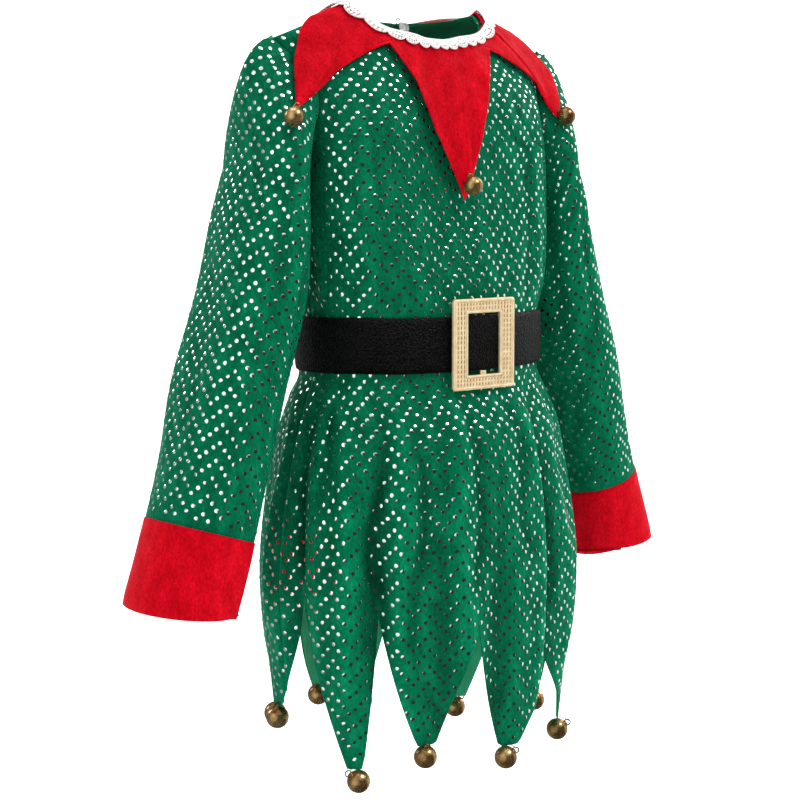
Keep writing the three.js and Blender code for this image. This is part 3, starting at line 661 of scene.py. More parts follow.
def column_heights(turns):
    """Rows from the top of each column down to its hem."""
    part = STEP / FINE_STEP
    stops = [(top_height(turns), 32), (UNDERARM_Z, 38), (BELT_TOP + 4, 6), (BELT_BOTTOM - 2, 10),
             (-310, 34), (HEM_START, 40), (hem_height(turns), 0)]
    rows = [np.broadcast_to(stops[0][0], turns.shape)]
    for (start, count), (end, _) in zip(stops, stops[1:]):
        count = max(2, round(count / part))
        rows += [start + (end - start) * n / count for n in range(1, count + 1)]
    return np.array([np.broadcast_to(row, turns.shape) for row in rows])


def body_grid(start, end):
    turns = column_turns(start, end, 1.5 * STEP / FINE_STEP)
    heights = column_heights(turns)
    turn = np.broadcast_to(turns, heights.shape)
    grid = body_point(turn, heights)
    free = smooth(np.abs(heights - (BELT_TOP + BELT_BOTTOM) / 2), BELT_HOLD, BELT_FREE)
    round_turn = (turn + 120) % 360 - 120
    arc = round_turn * PER_DEGREE
    creases = [(a * PER_DEGREE, za, b * PER_DEGREE, zb, width, depth)
               for a, za, b, zb, width, depth in BODY_CREASES]
    relief = crease_relief(arc, heights, creases)
    relief = relief * (1 + 0.7 * smooth(-heights, 300, 390)) + slow_waves(arc, heights, 4, 2.0)
    seam = np.minimum(np.abs(turn_between(turn, 90)), np.abs(turn_between(turn, -90)))
    seam = seam * PER_DEGREE
    below_arm = smooth(-heights, -UNDERARM_Z, -UNDERARM_Z + 30)
    relief *= 1 - (1 - below_arm) * np.exp(-((seam / ARM_CALM) ** 2))
    groove = SIDE_SEAM_DEPTH * np.exp(-((seam / SEAM_WIDTH) ** 2)) * below_arm
    centre_back = np.abs(turn_between(turn, 180)) * PER_DEGREE
    groove += BACK_SEAM_DEPTH * np.exp(-((centre_back / SEAM_WIDTH) ** 2))
    shoulder = heights - (shoulder_height(grid[..., 0]) - SHOULDER_CALM)
    shoulder = np.clip(shoulder, 0, SHOULDER_CALM) / SHOULDER_CALM
    relief *= 1 - 0.8 * shoulder
    offset = relief * free - groove * free
    return grid + grid_normals(grid, False) * offset[..., None], turn, heights


# The panels meet closer than the solids do, so that no light shows through a seam
PANEL_GAP = 0.04
half = PANEL_GAP / 2


def seam_y(points):
    return along(SECTIONS, LEAN, points[..., 2])


def in_front(points):
    points = points.copy()
    points[..., 1] = np.minimum(points[..., 1], seam_y(points) - half)
    return points


def behind(side):
    def keep(points):
        points = points.copy()
        points[..., 1] = np.maximum(points[..., 1], seam_y(points) + half)
        points[..., 0] = side * np.maximum(side * points[..., 0], half)
        return points
    return keep


def sleeve_map(grid, middle, foot):
    """A sleeve's cloth laid flat: out along each ring from a middle column, up from a ring near the foot."""
    out = surface_lengths(grid)[0]
    out = out - out[:, [middle]]
    places = np.arange(out.min(), out.max() + 3, 3.0)
    down = lengths_down(grid, out, places)
    down = down - down[foot]
    rise = np.array([-np.interp(out[k], places, down[k]) for k in range(len(grid))])
    return np.stack([out, rise], axis=-1) * MM


class FlatMap:
    """The body's cloth laid flat: lengths out from a middle line, and up or down from the belt."""

    TURN_STEP = 0.5
    LENGTH_STEP = 4.0

    def __init__(self, middle_turn, start, end):
        self.turns = np.arange(start, end + self.TURN_STEP, self.TURN_STEP)
        self.heights = np.arange(12, -600, -self.LENGTH_STEP)
        turn, z = np.meshgrid(self.turns, self.heights)
        points = body_point(turn, z)
        out = surface_lengths(points)[0]
        self.out = out - out[:, [int(np.argmin(np.abs(self.turns - middle_turn)))]]
        self.places = np.arange(self.out.min(), self.out.max() + self.LENGTH_STEP, self.LENGTH_STEP)
        down = lengths_down(points, self.out, self.places)
        self.down = down - down[int(np.argmin(np.abs(self.heights - BELT_TOP)))]

    def look_up(self, table, columns, x, z):
        i = np.clip((x - columns[0]) / (columns[1] - columns[0]), 0, len(columns) - 1.001)
        j = np.clip((self.heights[0] - z) / self.LENGTH_STEP, 0, len(self.heights) - 1.001)
        a, b = i.astype(int), j.astype(int)
        p, q = i - a, j - b
        return ((1 - p) * (1 - q) * table[b, a] + p * (1 - q) * table[b, a + 1]
                + (1 - p) * q * table[b + 1, a] + p * q * table[b + 1, a + 1])

    def uv(self, turn, z):
        u = self.look_up(self.out, self.turns, turn, z)
        return np.stack([u, -self.look_up(self.down, self.places, u, z)], axis=-1) * MM


PANELS = [
    ("front_panel", -90.0, 90.0, in_front, (0.39, 0.60), 0.1616),
    ("back_panel_left", 90.01, 180.0, behind(1), (0.20, 0.60), 0.0803),
    ("back_panel_right", 180.0, 269.99, behind(-1), (0.20, 0.60), 0.0806),
]
cloth_pieces = {}
cloth_grids = {}
for name, start, end, keep, flat, area in PANELS:
    grid, turn, heights = body_grid(start, end)
    grid = keep(grid)
    uv = FlatMap(0 if name == "front_panel" else 180, start, end).uv(turn, heights)
    piece = shell(name + "_velvet", grid, CLOTH, GREEN_VELVET, keep=keep, lining=GREEN_LINING_PAINTED_LIGHT, uv=uv)
    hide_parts(name)
    cloth_pieces[name] = (piece, flat, area, "green_velvet")
    cloth_grids[name] = (grid, uv)


# Sleeves and cuffs
def armhole_point(side, share):
    middle = (SHOULDER_TIP_Z + UNDERARM_Z) / 2
    reach = (SHOULDER_TIP_Z - UNDERARM_Z) / 2
    level = np.cos(share * 2 * math.pi)
    points = body_point(np.where(share <= 0.5, 89.99, 90.01), middle + reach * level)
    clear = 1.1
    out, back, up = (points[..., n] for n in range(3))
    return np.stack([side * (out + clear), back, up + clear * level], axis=-1)


def sleeve_frame(side, z):
    def at(h):
        return np.stack([side * along(SLEEVE_RINGS, 1, h), along(SLEEVE_RINGS, 2, h), h + 0 * z], axis=-1)

    def unit(v):
        return v / np.linalg.norm(v, axis=-1, keepdims=True)

    down = unit(at(z - 2) - at(z + 2))
    outward = unit(np.array([side, 0, 0]) - down * down[..., :1] * side)
    fore = unit(np.array([0, -1, 0]) + down * down[..., 1:2])
    return at(z), down, outward, fore


def sleeve_point(side, share, z, extra=0.0):
    share, z = np.broadcast_arrays(np.asarray(share, float), np.asarray(z, float))
    centre, _, outward, fore = sleeve_frame(side, z)
    angle = share * 2 * math.pi
    wave = 1.2 * np.sin(3 * angle + z / 34) * smooth(-z, 130, 180) + extra
    out = along(SLEEVE_RINGS, 3, z) + wave
    front = along(SLEEVE_RINGS, 4, z) * (0.93 if side > 0 else 1) + wave
    return centre + outward * (out * np.cos(angle))[..., None] + fore * (front * np.sin(angle))[..., None]


def sleeve_head(side, share, q):
    """The sleeve head bends from the armhole into the hanging tube."""
    start = armhole_point(side, share)
    first = np.full_like(share, SLEEVE_RINGS[0, 0])
    end = sleeve_point(side, share, first)
    reach = np.linalg.norm(end - start, axis=-1, keepdims=True)
    lean = np.radians(14 + 66 * (0.5 - 0.5 * np.cos(share * 2 * math.pi)))
    leave = np.stack([side * np.cos(lean), -0.35 * np.sin(share * 2 * math.pi), -np.sin(lean)], axis=-1)
    leave /= np.linalg.norm(leave, axis=-1, keepdims=True)
    arrive = sleeve_frame(side, first)[1]
    first_pull = start + leave * 0.38 * reach
    second_pull = end - arrive * 0.42 * reach
    q = q[..., None]
    return ((1 - q) ** 3 * start + 3 * (1 - q) ** 2 * q * first_pull
            + 3 * (1 - q) * q**2 * second_pull + q**3 * end)


SLEEVE_ROUND = 270
SLEEVE_LENGTH = 320
CUFF_WALL = 2.0
CUFF_SEAM = 0.44 * SLEEVE_ROUND
for side in (-1, 1):
    hand = "left" if side > 0 else "right"
    columns = 88
    share = np.arange(columns) / columns
    head_rows, tube_rows = ((22, 78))
    rows = [sleeve_head(side, share, np.full_like(share, j / head_rows)) for j in range(head_rows)]
    rows += [sleeve_point(side, share, np.full_like(share, z))
             for z in np.linspace(SLEEVE_RINGS[0, 0], CUFF_TOP, tube_rows)]
    grid = np.array(rows)
    arc = np.broadcast_to(share * SLEEVE_ROUND, grid.shape[:2])
    creases = []
    for a, za, b, zb, width, depth in SLEEVE_CREASES:
        for lap in (-1, 0, 1):
            shift = 0.03 * side
            start, end = (a + shift + lap) * SLEEVE_ROUND, (b + shift + lap) * SLEEVE_ROUND
            creases.append((start, za, end, zb, width, depth))
    relief = crease_relief(arc, grid[..., 2], creases)
    row_share = np.arange(len(grid)) / (len(grid) - 1)
    free = smooth(row_share, 0.03, 0.2) * (1 - 0.75 * smooth(row_share, 0.96, 1.0))
    groove = 0.7 * np.exp(-((row_share * SLEEVE_LENGTH / 1.8) ** 2))
    if side > 0:
        grid, relief = grid[:, ::-1], relief[:, ::-1]
    offset = relief * free[:, None] - groove[:, None]
    grid = grid + grid_normals(grid, True) * offset[..., None]
    uv = flat_uv(grid)
    piece = shell(f"sleeve_{hand}_velvet", grid, CLOTH, GREEN_VELVET, True, lining=GREEN_LINING_PAINTED_LIGHT, uv=uv)
    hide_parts(f"sleeve_{hand}")
    cloth_pieces[f"sleeve_{hand}"] = (piece, (0.30, 0.38), 0.0825, "green_velvet")
    cloth_grids[f"sleeve_{hand}"] = (grid, uv)

    cuff_rows = 20
    heights = CUFF_TOP - SEAM_GAP * 1.3 - CUFF_LENGTH * np.arange(cuff_rows) / (cuff_rows - 1)
    grid = np.array([sleeve_point(side, share, np.full_like(share, z), 0.8) for z in heights])
    arc = np.broadcast_to(share * SLEEVE_ROUND, grid.shape[:2])
    relief = slow_waves(arc, grid[..., 2], 11 + side, 2.2) * smooth(np.arange(cuff_rows), 0, 6)[:, None]
    relief = relief - 0.8 * np.exp(-(((arc - CUFF_SEAM) / 1.8) ** 2))
    join = np.abs(share * 2 - 1)
    relief = relief * (1 - np.exp(-(((1 - join) * SLEEVE_ROUND / 2 / 12) ** 2)))
    if side > 0:
        grid, relief = grid[:, ::-1], relief[:, ::-1]
    grid = grid + grid_normals(grid, True) * (relief * 0.6)[..., None]
    piece = shell(f"cuff_{hand}_velvet", grid, CUFF_WALL, RED_VELVET, True, uv=flat_uv(grid))
    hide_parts(f"cuff_{hand}")
    cloth_pieces[f"cuff_{hand}"] = (piece, (0.28, 0.057), None, "red_velvet")


# Collar and lace are placed by looking out from a point inside the chest
CHEST = np.array([0.0, 10.0, -90.0])
LOOK = math.radians(1.3)
BACK_DROP = 8
COLLAR_WALL = 1.4
COLLAR_STAND = 2.2 + COLLAR_WALL
LACE_WALL = 1.0
LACE_STAND = 0.9 + LACE_WALL
LACE_WIDTH = 10
SCALLOPS = 27


def tree_of(objects):
    """One search tree over the outer faces of several pieces, in millimetres."""
    points, faces, first = [], [], 0
    for item in objects:
        mesh = item.data
        points += [v.co / MM for v in mesh.vertices]
        faces += [tuple(v + first for v in polygon.vertices) for polygon in mesh.polygons]
        first += len(mesh.vertices)
    return BVHTree.FromPolygons(points, faces)


def aim(level, rise):
    return np.array([math.cos(rise) * math.sin(level), -math.cos(rise) * math.cos(level), math.sin(rise)])


def outermost(tree, direction):
    """How far from the chest point the outermost cloth lies that way, or 0."""
    far = 400.0
    start = CHEST + direction * far
    hit = tree.ray_cast(Vector(start), Vector(-direction), far)
    return far - hit[3] if hit[0] is not None else 0.0


def neckline():
    turns = np.arange(-180, 180.25, 0.25)
    points = body_point(turns, top_height(turns))
    points = points[np.abs(points[:, 0]) < NECK_HALF_WIDTH + 0.5] - CHEST
    levels = np.arctan2(points[:, 0], -points[:, 1])
    order = np.argsort(levels)
    return levels[order], points[order]


NECK_LEVELS, NECK_POINTS = neckline()


def neckline_at(level):
    wrapped = math.atan2(math.sin(level), math.cos(level))
    return np.array([np.interp(wrapped, NECK_LEVELS, NECK_POINTS[:, k]) for k in range(3)])


def neck_start(level):
    """Distance and rise of the collar's top edge: below the neckline at the back, where it lies outside."""
    start = neckline_at(level)
    length = np.linalg.norm(start)
    lowered = BACK_DROP * smooth(abs(math.degrees(level)), 84, 106)
    return length, math.asin(start[2] / length) - lowered / length


def collar_side(column, side, finer):
    points = []
    for k, row in enumerate(COLLAR_EDGE):
        after = COLLAR_EDGE[min(k + 1, len(COLLAR_EDGE) - 1)]
        start = np.array([side * row[column], row[2], row[3]], dtype=float)
        end = np.array([side * after[column], after[2], after[3]], dtype=float)
        steps = row[4] * finer if k < len(COLLAR_EDGE) - 1 else 1
        points += [start + (end - start) * n / steps for n in range(steps)]
    return points


def collar_edge(finer):
    """From the back opening over the right side and the front to the left."""
    right, left = collar_side(1, -1, finer), collar_side(0, 1, finer)
    if finer > 1:
        join = [right[finer - n] for n in range(1, finer)]
        return right[finer:][::-1] + join + left
    return right[1:][::-1] + left


def bridged(reaches):
    made = reaches.copy()
    across = (reaches[:, :-2] + reaches[:, 2:]) / 2
    made[:, 1:-1] = np.maximum(made[:, 1:-1], across)
    above, below = reaches[:-1], np.concatenate([reaches[2:], reaches[-1:]])
    made[1:, 1:-1] = np.maximum(made[1:, 1:-1], ((above + below) / 2)[:, 1:-1])
    return made


def looks_of(edge):
    looks = []
    for point in edge:
        target = point - CHEST
        level = math.atan2(target[0], -target[1])
        length, rise = neck_start(level)
        looks.append((level, length, rise, math.asin(target[2] / np.linalg.norm(target))))
    return looks


def cape_reaches(edge, rows, tree):
    """Coarse distances of a cape that lies on the cloth, as in the solids."""
    looks = looks_of(edge)
    reaches = np.zeros((rows, len(looks)))
    for i, (level, length, start, end) in enumerate(looks):
        reaches[0, i] = outermost(tree, aim(level, start - LOOK))
        if abs(math.degrees(level)) < 96 or not reaches[0, i]:
            reaches[0, i] = max(length, reaches[0, i])
        for j in range(1, rows):
            rise = start + (end - start) * j / (rows - 1)
            found = [outermost(tree, aim(level + a, rise + b))
                     for a, b in ((0, 0), (LOOK, 0), (-LOOK, 0), (0, LOOK), (0, -LOOK))]
            reaches[j, i] = max(found) or reaches[j - 1, i]
    for _ in range(3):
        reaches = bridged(reaches)
    return reaches


def spline(values, places):
    """Values between the knots of each row of a table, on a smooth curve."""
    last = values.shape[-1] - 1
    k = np.clip(np.floor(places).astype(int), 0, last - 1)
    q = places - k
    a, b = values[..., np.maximum(k - 1, 0)], values[..., k]
    c, d = values[..., k + 1], values[..., np.minimum(k + 2, last)]
    return b + 0.5 * q * (c - a + q * (2 * a - 5 * b + 4 * c - d + q * (3 * (b - c) + d - a)))


def cape_grid(edge, reaches, finer, rows, lift):
    """The cape's outer face in fine steps over its coarse distances."""
    looks = looks_of(edge)
    places = np.minimum(np.arange(len(edge)) / finer, reaches.shape[1] - 1)
    fine = spline(reaches, places)
    fine = spline(fine.T, np.linspace(0, reaches.shape[0] - 1, rows)).T
    grid = np.zeros((rows, len(edge), 3))
    for i, (level, _, start, end) in enumerate(looks):
        for j in range(rows):
            rise = start + (end - start) * j / (rows - 1)
            grid[j, i] = CHEST + aim(level, rise) * (fine[j, i] + lift)
    return grid


def distance_to_line(points, start, end):
    """Distance from each point to a straight line between two places."""
    start, end = np.array(start, float), np.array(end, float)
    run = end - start
    t = np.clip(((points - start) @ run) / (run @ run), 0, 1)
    return np.linalg.norm(points - (start + t[..., None] * run), axis=-1)


# Pressed lines and soft folds of the collar: two places, width, depth
COLLAR_CREASES = [
    ((-60, 8, 2), (-138, -26, -88), 1.6, -0.9), ((-54, -10, -8), (-120, -34, -66), 5, 0.9),
    ((-66, 20, 0), (-112, 2, -36), 4, -0.7), ((60, 8, 2), (118, -26, -86), 1.6, -0.8),
    ((54, -8, -8), (108, -32, -64), 5, 0.8), ((-26, -40, -42), (28, -40, -42), 1.3, -0.6),
    ((4, -46, -60), (2, -55, -130), 5, 0.6), ((-14, -46, -70), (-2, -54, -120), 4, -0.5),
    ((40, 50, -30), (37, 62, -100), 4, -0.7), ((-40, 50, -30), (-37, 62, -100), 4, -0.7),
    ((52, 40, -18), (42, 60, -80), 4, 0.7), ((-52, 40, -18), (-42, 60, -80), 4, 0.7),
]
bases = tree_of([piece for piece, *_ in cloth_pieces.values()])
FINER = 5
COLLAR_ROWS = 9
coarse = cape_reaches(collar_edge(1), COLLAR_ROWS, bases)
grid = cape_grid(collar_edge(FINER), coarse, FINER, COLLAR_ROWS * FINER, COLLAR_STAND)
relief = np.zeros(grid.shape[:2])
for start, end, width, depth in COLLAR_CREASES:
    relief += depth * np.exp(-((distance_to_line(grid, start, end) / width) ** 2))
across, down = surface_lengths(grid)
from_rim = down[-1:] - down
stitch_line = np.exp(-(((from_rim - 3.2) / 0.9) ** 2)) * (down[-1:] > 12)
grid = grid + grid_normals(grid, False) * (np.maximum(relief, -1.2) - 0.45 * stitch_line)[..., None]
collar = shell("collar_velvet", grid, COLLAR_WALL, RED_VELVET,
               uv=np.stack([across, -down], axis=-1) * MM)
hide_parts("collar")
cloth_pieces["collar"] = (collar, (0.40, 0.15), 0.0274, "red_velvet")


# Lace strip: a row of cells, some with an eyelet, bent along the neckline
over_collar = tree_of([piece for piece, *_ in cloth_pieces.values()])
LACE_ACROSS = 7
LACE_FULL = LACE_WIDTH + 0.6
lace_turns = np.linspace(-176, 176, SCALLOPS * 12 + 1)
lace_reach = np.zeros((LACE_ACROSS, len(lace_turns)))
lace_aims = np.zeros((LACE_ACROSS, len(lace_turns), 3))
for i, turn in enumerate(lace_turns):
    level = math.radians(turn)
    length, rise = neck_start(level)
    for j in range(LACE_ACROSS):
        here = rise - LACE_FULL * j / (LACE_ACROSS - 1) / length
        lace_aims[j, i] = aim(level, here)
        found = [outermost(over_collar, aim(level + a, here + b))
                 for a, b in ((0, 0), (LOOK, 0), (-LOOK, 0), (0, -LOOK))]
        least = lace_reach[j - 1, i] - 3 if j else (length + COLLAR_STAND) * (abs(turn) < 96)
        lace_reach[j, i] = max(max(found), least)
for _ in range(4):
    lace_reach = bridged(lace_reach)
lace_points = CHEST + lace_aims * (lace_reach + LACE_STAND)[..., None]
CELLS_ALONG = 6
CELLS_ACROSS = 5
EYELETS = ["......", "o.oo.o", ".o..o.", "oOOOOo", ".oooo."]
SCALLOP_DEPTH = 4


def scallop_bulge(u):
    """0 between two scallops, 1 in the middle of one."""
    return np.abs(np.sin(math.pi * u)) ** 0.6


def lace_place(u, w):
    """A place on the lace: u in scallops along it, w its share across the lace's full width."""
    i = u / SCALLOPS * (len(lace_turns) - 1)
    bulge = scallop_bulge(u)
    j = w * (LACE_WIDTH - SCALLOP_DEPTH * (1 - bulge)) / LACE_FULL * (LACE_ACROSS - 1)
    i = np.clip(i, 0, len(lace_turns) - 1.001)
    j = np.clip(j, 0, LACE_ACROSS - 1.001)
    a, b = np.floor(i).astype(int), np.floor(j).astype(int)
    p, q = (i - a)[..., None], (j - b)[..., None]
    return ((1 - p) * (1 - q) * lace_points[b, a] + p * (1 - q) * lace_points[b, a + 1]
            + (1 - p) * q * lace_points[b + 1, a] + p * q * lace_points[b + 1, a + 1])


ROUND = [(-0.5, -0.5), (0, -0.5), (0.5, -0.5), (0.5, 0), (0.5, 0.5), (0, 0.5), (-0.5, 0.5), (-0.5, 0)]


def lace_cells(count):
    """Flat points and faces of a run of lace cells, and where its eyelets are left open."""
    points, faces = [], []
    for cell in range(count):
        for row in range(CELLS_ACROSS):
            kind = EYELETS[row][cell % CELLS_ALONG]
            first = len(points)
            points += [(cell + 0.5 + x, row + 0.5 + y) for x, y in ROUND]
            if kind == ".":
                points.append((cell + 0.5, row + 0.5))
                centre = first + 8
                for n in range(0, 8, 2):
                    faces.append((first + n, first + n + 1, centre, first + (n + 7) % 8))
                continue
            radius = 0.4 if kind == "O" else 0.31
            for x, y in ROUND:
                size = math.hypot(x, y)
                points.append((cell + 0.5 + x / size * radius, row + 0.5 + y / size * radius))
            for n in range(8):
                m = (n + 1) % 8
                faces.append((first + n, first + m, first + 8 + m, first + 8 + n))
    return np.array(points), faces


def lace_piece(name, points, faces, facing):
    """Lace of some thickness, its outer face towards facing."""
    made = mesh_object(name, points, faces, WHITE_LACE)
    work = bmesh.new()
    work.from_mesh(made.data)
    bmesh.ops.remove_doubles(work, verts=work.verts, dist=0.02 * MM)
    work.normal_update()
    work.faces.ensure_lookup_table()
    middle = work.faces[len(work.faces) // 2]
    if middle.normal.dot(facing(middle.calc_center_median())) < 0:
        bmesh.ops.reverse_faces(work, faces=work.faces)
    work.to_mesh(made.data)
    work.free()
    thick = made.modifiers.new("lace_thickness", "SOLIDIFY")
    thick.thickness = 0.8 * MM
    thick.offset = -1
    return made


lace_flat, lace_faces = lace_cells(SCALLOPS * CELLS_ALONG)
lace_flat = lace_flat / (CELLS_ALONG, CELLS_ACROSS)
lace = lace_piece("neck_lace_strip", lace_place(lace_flat[:, 0], lace_flat[:, 1]), lace_faces,
                  lambda place: place - Vector(CHEST * MM))
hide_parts("neck_lace")
cloth_pieces["neck_lace"] = (lace, (0.40, 0.010), 0.0032, "white_lace")

# The lace's free end, folded in at the back of the neck: two scallops that hang down
END_LEVEL, END_TILT, END_IN = 162, 0.12, 3.2
END_WIDTH, END_SCALLOP = 9, 8.5
END_LEFT, END_ABOVE = 4, 0.5
end_flat, end_faces = lace_cells(2 * CELLS_ALONG)
end_flat = end_flat / (CELLS_ALONG, CELLS_ACROSS)
end_out = CHEST + neckline_at(math.radians(END_LEVEL))
end_wide = end_flat[:, 1] * (END_WIDTH - SCALLOP_DEPTH * (1 - scallop_bulge(end_flat[:, 0])) * 0.6)
end_down = end_flat[:, 0] * END_SCALLOP
end_places = np.stack([end_out[0] - END_LEFT + end_wide + END_TILT * end_down,
                       end_out[1] - END_IN - 0.05 * end_wide + 0.6 * np.sin(end_down / 3),
                       end_out[2] + END_ABOVE - end_down], axis=-1)
lace_end = lace_piece("neck_lace_end", end_places, end_faces, lambda place: Vector((0, -1, 0)))


# Belt: a strap with rolled edges, and its end lapped over at the back
BELT_WALL = 2
BELT_EASE = 1.1
belt_turns = np.arange(0, 360, 2.4)


def belt_line(turns, out):
    points = body_point(turns, np.full_like(turns, BELT_BOTTOM))
    away = np.stack([points[:, 0], points[:, 1] * 2, 0 * turns], axis=-1)
    return points + away / np.linalg.norm(away, axis=1, keepdims=True) * out


def belt_grid(turns, out, top, bottom, rows=13):
    line = belt_line(turns, out)
    grid = np.repeat(line[None], rows, axis=0)
    share = np.linspace(0, 1, rows)
    grid[..., 2] = (top + (bottom - top) * share)[:, None]
    away = grid_normals(grid, False)
    crown = 0.35 * np.sin(math.pi * share) - 0.5 * (np.abs(share * 2 - 1) ** 8)
    sway = 0.22 * np.sin(np.radians(turns) * 5 + 0.6) + 0.15 * np.sin(np.radians(turns) * 11)
    grid = grid + away * crown[:, None, None]
    grid[..., 2] += sway[None] * 1.2
    return grid


# The belt lies higher than its solid
BELT_RISE = 4
BELT_OUT = BELT_WALL + BELT_EASE
LAP_START, LAP_END = 138, 190


def strap(turns, out, narrower):
    """The strap's outer face, narrower by so much at its top and at its bottom."""
    return belt_grid(turns, out, BELT_TOP - narrower + BELT_RISE, BELT_BOTTOM + narrower + BELT_RISE)


belt = shell("belt_strap", strap(belt_turns, BELT_OUT - 0.3, 0.5), BELT_WALL - 0.4, BELT_LEATHER, True)
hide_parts("belt")
lap = strap(np.linspace(LAP_START, LAP_END, 26), BELT_OUT + 1.6, 0.9)
belt_lap = shell("belt_lap", lap, 1.5, BELT_LEATHER)


# Buckle: a raised rim outside and inside, rails of pressed slots between
BUCKLE = dict(width=62.0, height=69.0, window_width=33.0, window_height=47.0, wall=3.0)
BUCKLE_RISE = 3.5
buckle_z = (BELT_TOP + BELT_BOTTOM) / 2 + BUCKLE_RISE
buckle_back = belt_line(np.array([0.0]), BELT_OUT)[0, 1]
buckle_front = buckle_back - BUCKLE["wall"]


def rounded_ring(width, height, corner, steps=5):
    points = []
    for k, (sx, sz) in enumerate(((1, 1), (-1, 1), (-1, -1), (1, -1))):
        for n in range(steps + 1):
            angle = math.pi / 2 * (k + n / steps)
            points.append((sx * (width / 2 - corner) + corner * math.cos(angle),
                           sz * (height / 2 - corner) + corner * math.sin(angle)))
    return np.array(points)


def frame_rim(name, width, height, corner, inset, back, front, material, hole=None):
    """A closed ring whose section is a bar with rounded shoulders."""
    hole = hole or (width - 2 * inset, height - 2 * inset)
    outer = rounded_ring(width, height, corner)
    inner = rounded_ring(*hole, max(corner - inset, 0.4))
    deep = front - back
    section = [(0, 0), (0, 0.7), (0.12, 0.9), (0.3, 1), (0.7, 1), (0.88, 0.9), (1, 0.7), (1, 0)]
    points, faces, size = [], [], len(outer)
    for across, level in section:
        flat = outer * (1 - across) + inner * across
        depth = np.full(size, back + deep * level)
        points.append(np.stack([flat[:, 0], depth, flat[:, 1] + buckle_z], axis=-1))
    rings = len(section)
    for ring in range(rings):
        after = (ring + 1) % rings
        for n in range(size):
            m = (n + 1) % size
            faces.append((ring * size + n, after * size + n, after * size + m, ring * size + m))
    return mesh_object(name, np.concatenate(points), faces, material)


def recalculated(obj):
    work = bmesh.new()
    work.from_mesh(obj.data)
    bmesh.ops.remove_doubles(work, verts=work.verts, dist=0.004 * MM)
    bmesh.ops.recalc_face_normals(work, faces=work.faces)
    work.to_mesh(obj.data)
    work.free()
    obj.data.update()
    return obj


def slot_tile():
    """One square of pressed plate with a slanting slot, its walls going down."""
    slot = [(-0.2, -0.34), (-0.03, -0.38), (0.1, -0.33), (0.16, 0.0)]
    slot += [(-x, -y) for x, y in slot]
    work = bmesh.new()
    edge = [work.verts.new((x, y, 0)) for x, y in ROUND]
    lip = [work.verts.new((x, y, -0.05)) for x, y in slot]
    foot = [work.verts.new((x * 0.9, y * 0.9, -0.5)) for x, y in slot]
    for n in range(8):
        m = (n + 1) % 8
        work.faces.new((edge[n], edge[m], lip[m], lip[n]))
        work.faces.new((lip[n], lip[m], foot[m], foot[n]))
    mesh = bpy.data.meshes.new("slot_tile")
    work.to_mesh(mesh)
    work.free()
    return placed("slot_tile", mesh)


def node_tree(name, inputs):
    tree = bpy.data.node_groups.new(name, "GeometryNodeTree")
    tree.interface.new_socket("Geometry", in_out="INPUT", socket_type="NodeSocketGeometry")
    for label, kind in inputs:
        tree.interface.new_socket(label, in_out="INPUT", socket_type=kind)
    tree.interface.new_socket("Geometry", in_out="OUTPUT", socket_type="NodeSocketGeometry")
    return tree, tree.nodes.new("NodeGroupInput"), tree.nodes.new("NodeGroupOutput")


def with_nodes(obj, tree, values):
    """Runs a node tree on an object with named inputs and keeps the plain mesh."""
    modifier = obj.modifiers.new(tree.name, "NODES")
    modifier.node_group = tree
    for item in tree.interface.items_tree:
        if item.item_type == "SOCKET" and item.in_out == "INPUT" and item.name in values:
            modifier[item.identifier] = values[item.name]
    graph = bpy.context.evaluated_depsgraph_get()
    made = bpy.data.meshes.new_from_object(obj.evaluated_get(graph), depsgraph=graph)
    obj.modifiers.clear()
    old, obj.data = obj.data, made
    bpy.data.meshes.remove(old)
    made.name = obj.name
    return obj


def slotted_plate_tree(tile, material):
    """A plate of tiles in rows and columns."""
    tree, start, end = node_tree("slotted_plate", [
        ("Columns", "NodeSocketInt"), ("Rows", "NodeSocketInt"), ("Width", "NodeSocketFloat"),
        ("Height", "NodeSocketFloat"), ("Tile", "NodeSocketVector")])
    nodes, link = tree.nodes, tree.links.new
    grid = nodes.new("GeometryNodeMeshGrid")
    link(start.outputs["Width"], grid.inputs["Size X"])
    link(start.outputs["Height"], grid.inputs["Size Y"])
    link(start.outputs["Columns"], grid.inputs["Vertices X"])
    link(start.outputs["Rows"], grid.inputs["Vertices Y"])
    shape = nodes.new("GeometryNodeObjectInfo")
    shape.inputs["Object"].default_value = tile
    put = nodes.new("GeometryNodeInstanceOnPoints")
    link(grid.outputs["Mesh"], put.inputs["Points"])
    link(shape.outputs["Geometry"], put.inputs["Instance"])
    link(start.outputs["Tile"], put.inputs["Scale"])
    real = nodes.new("GeometryNodeRealizeInstances")
    link(put.outputs["Instances"], real.inputs["Geometry"])
    merge = nodes.new("GeometryNodeMergeByDistance")
    merge.inputs["Distance"].default_value = 0.01 * MM
    link(real.outputs["Geometry"], merge.inputs["Geometry"])
    paint = nodes.new("GeometryNodeSetMaterial")
    paint.inputs["Material"].default_value = material
    link(merge.outputs["Geometry"], paint.inputs["Geometry"])
    link(paint.outputs["Geometry"], end.inputs["Geometry"])
    return tree


OUTER_RIM, INNER_RIM = 2.6, 2.2
buckle_frame = frame_rim("buckle_rim", BUCKLE["width"], BUCKLE["height"], 2.4, OUTER_RIM, buckle_back,
                         buckle_front, GOLD_PLATE)
buckle_window = frame_rim("buckle_window", BUCKLE["window_width"] + 2 * INNER_RIM,
                          BUCKLE["window_height"] + 2 * INNER_RIM, 1.6, INNER_RIM, buckle_back,
                          buckle_front + 0.25, GOLD_PLATE)
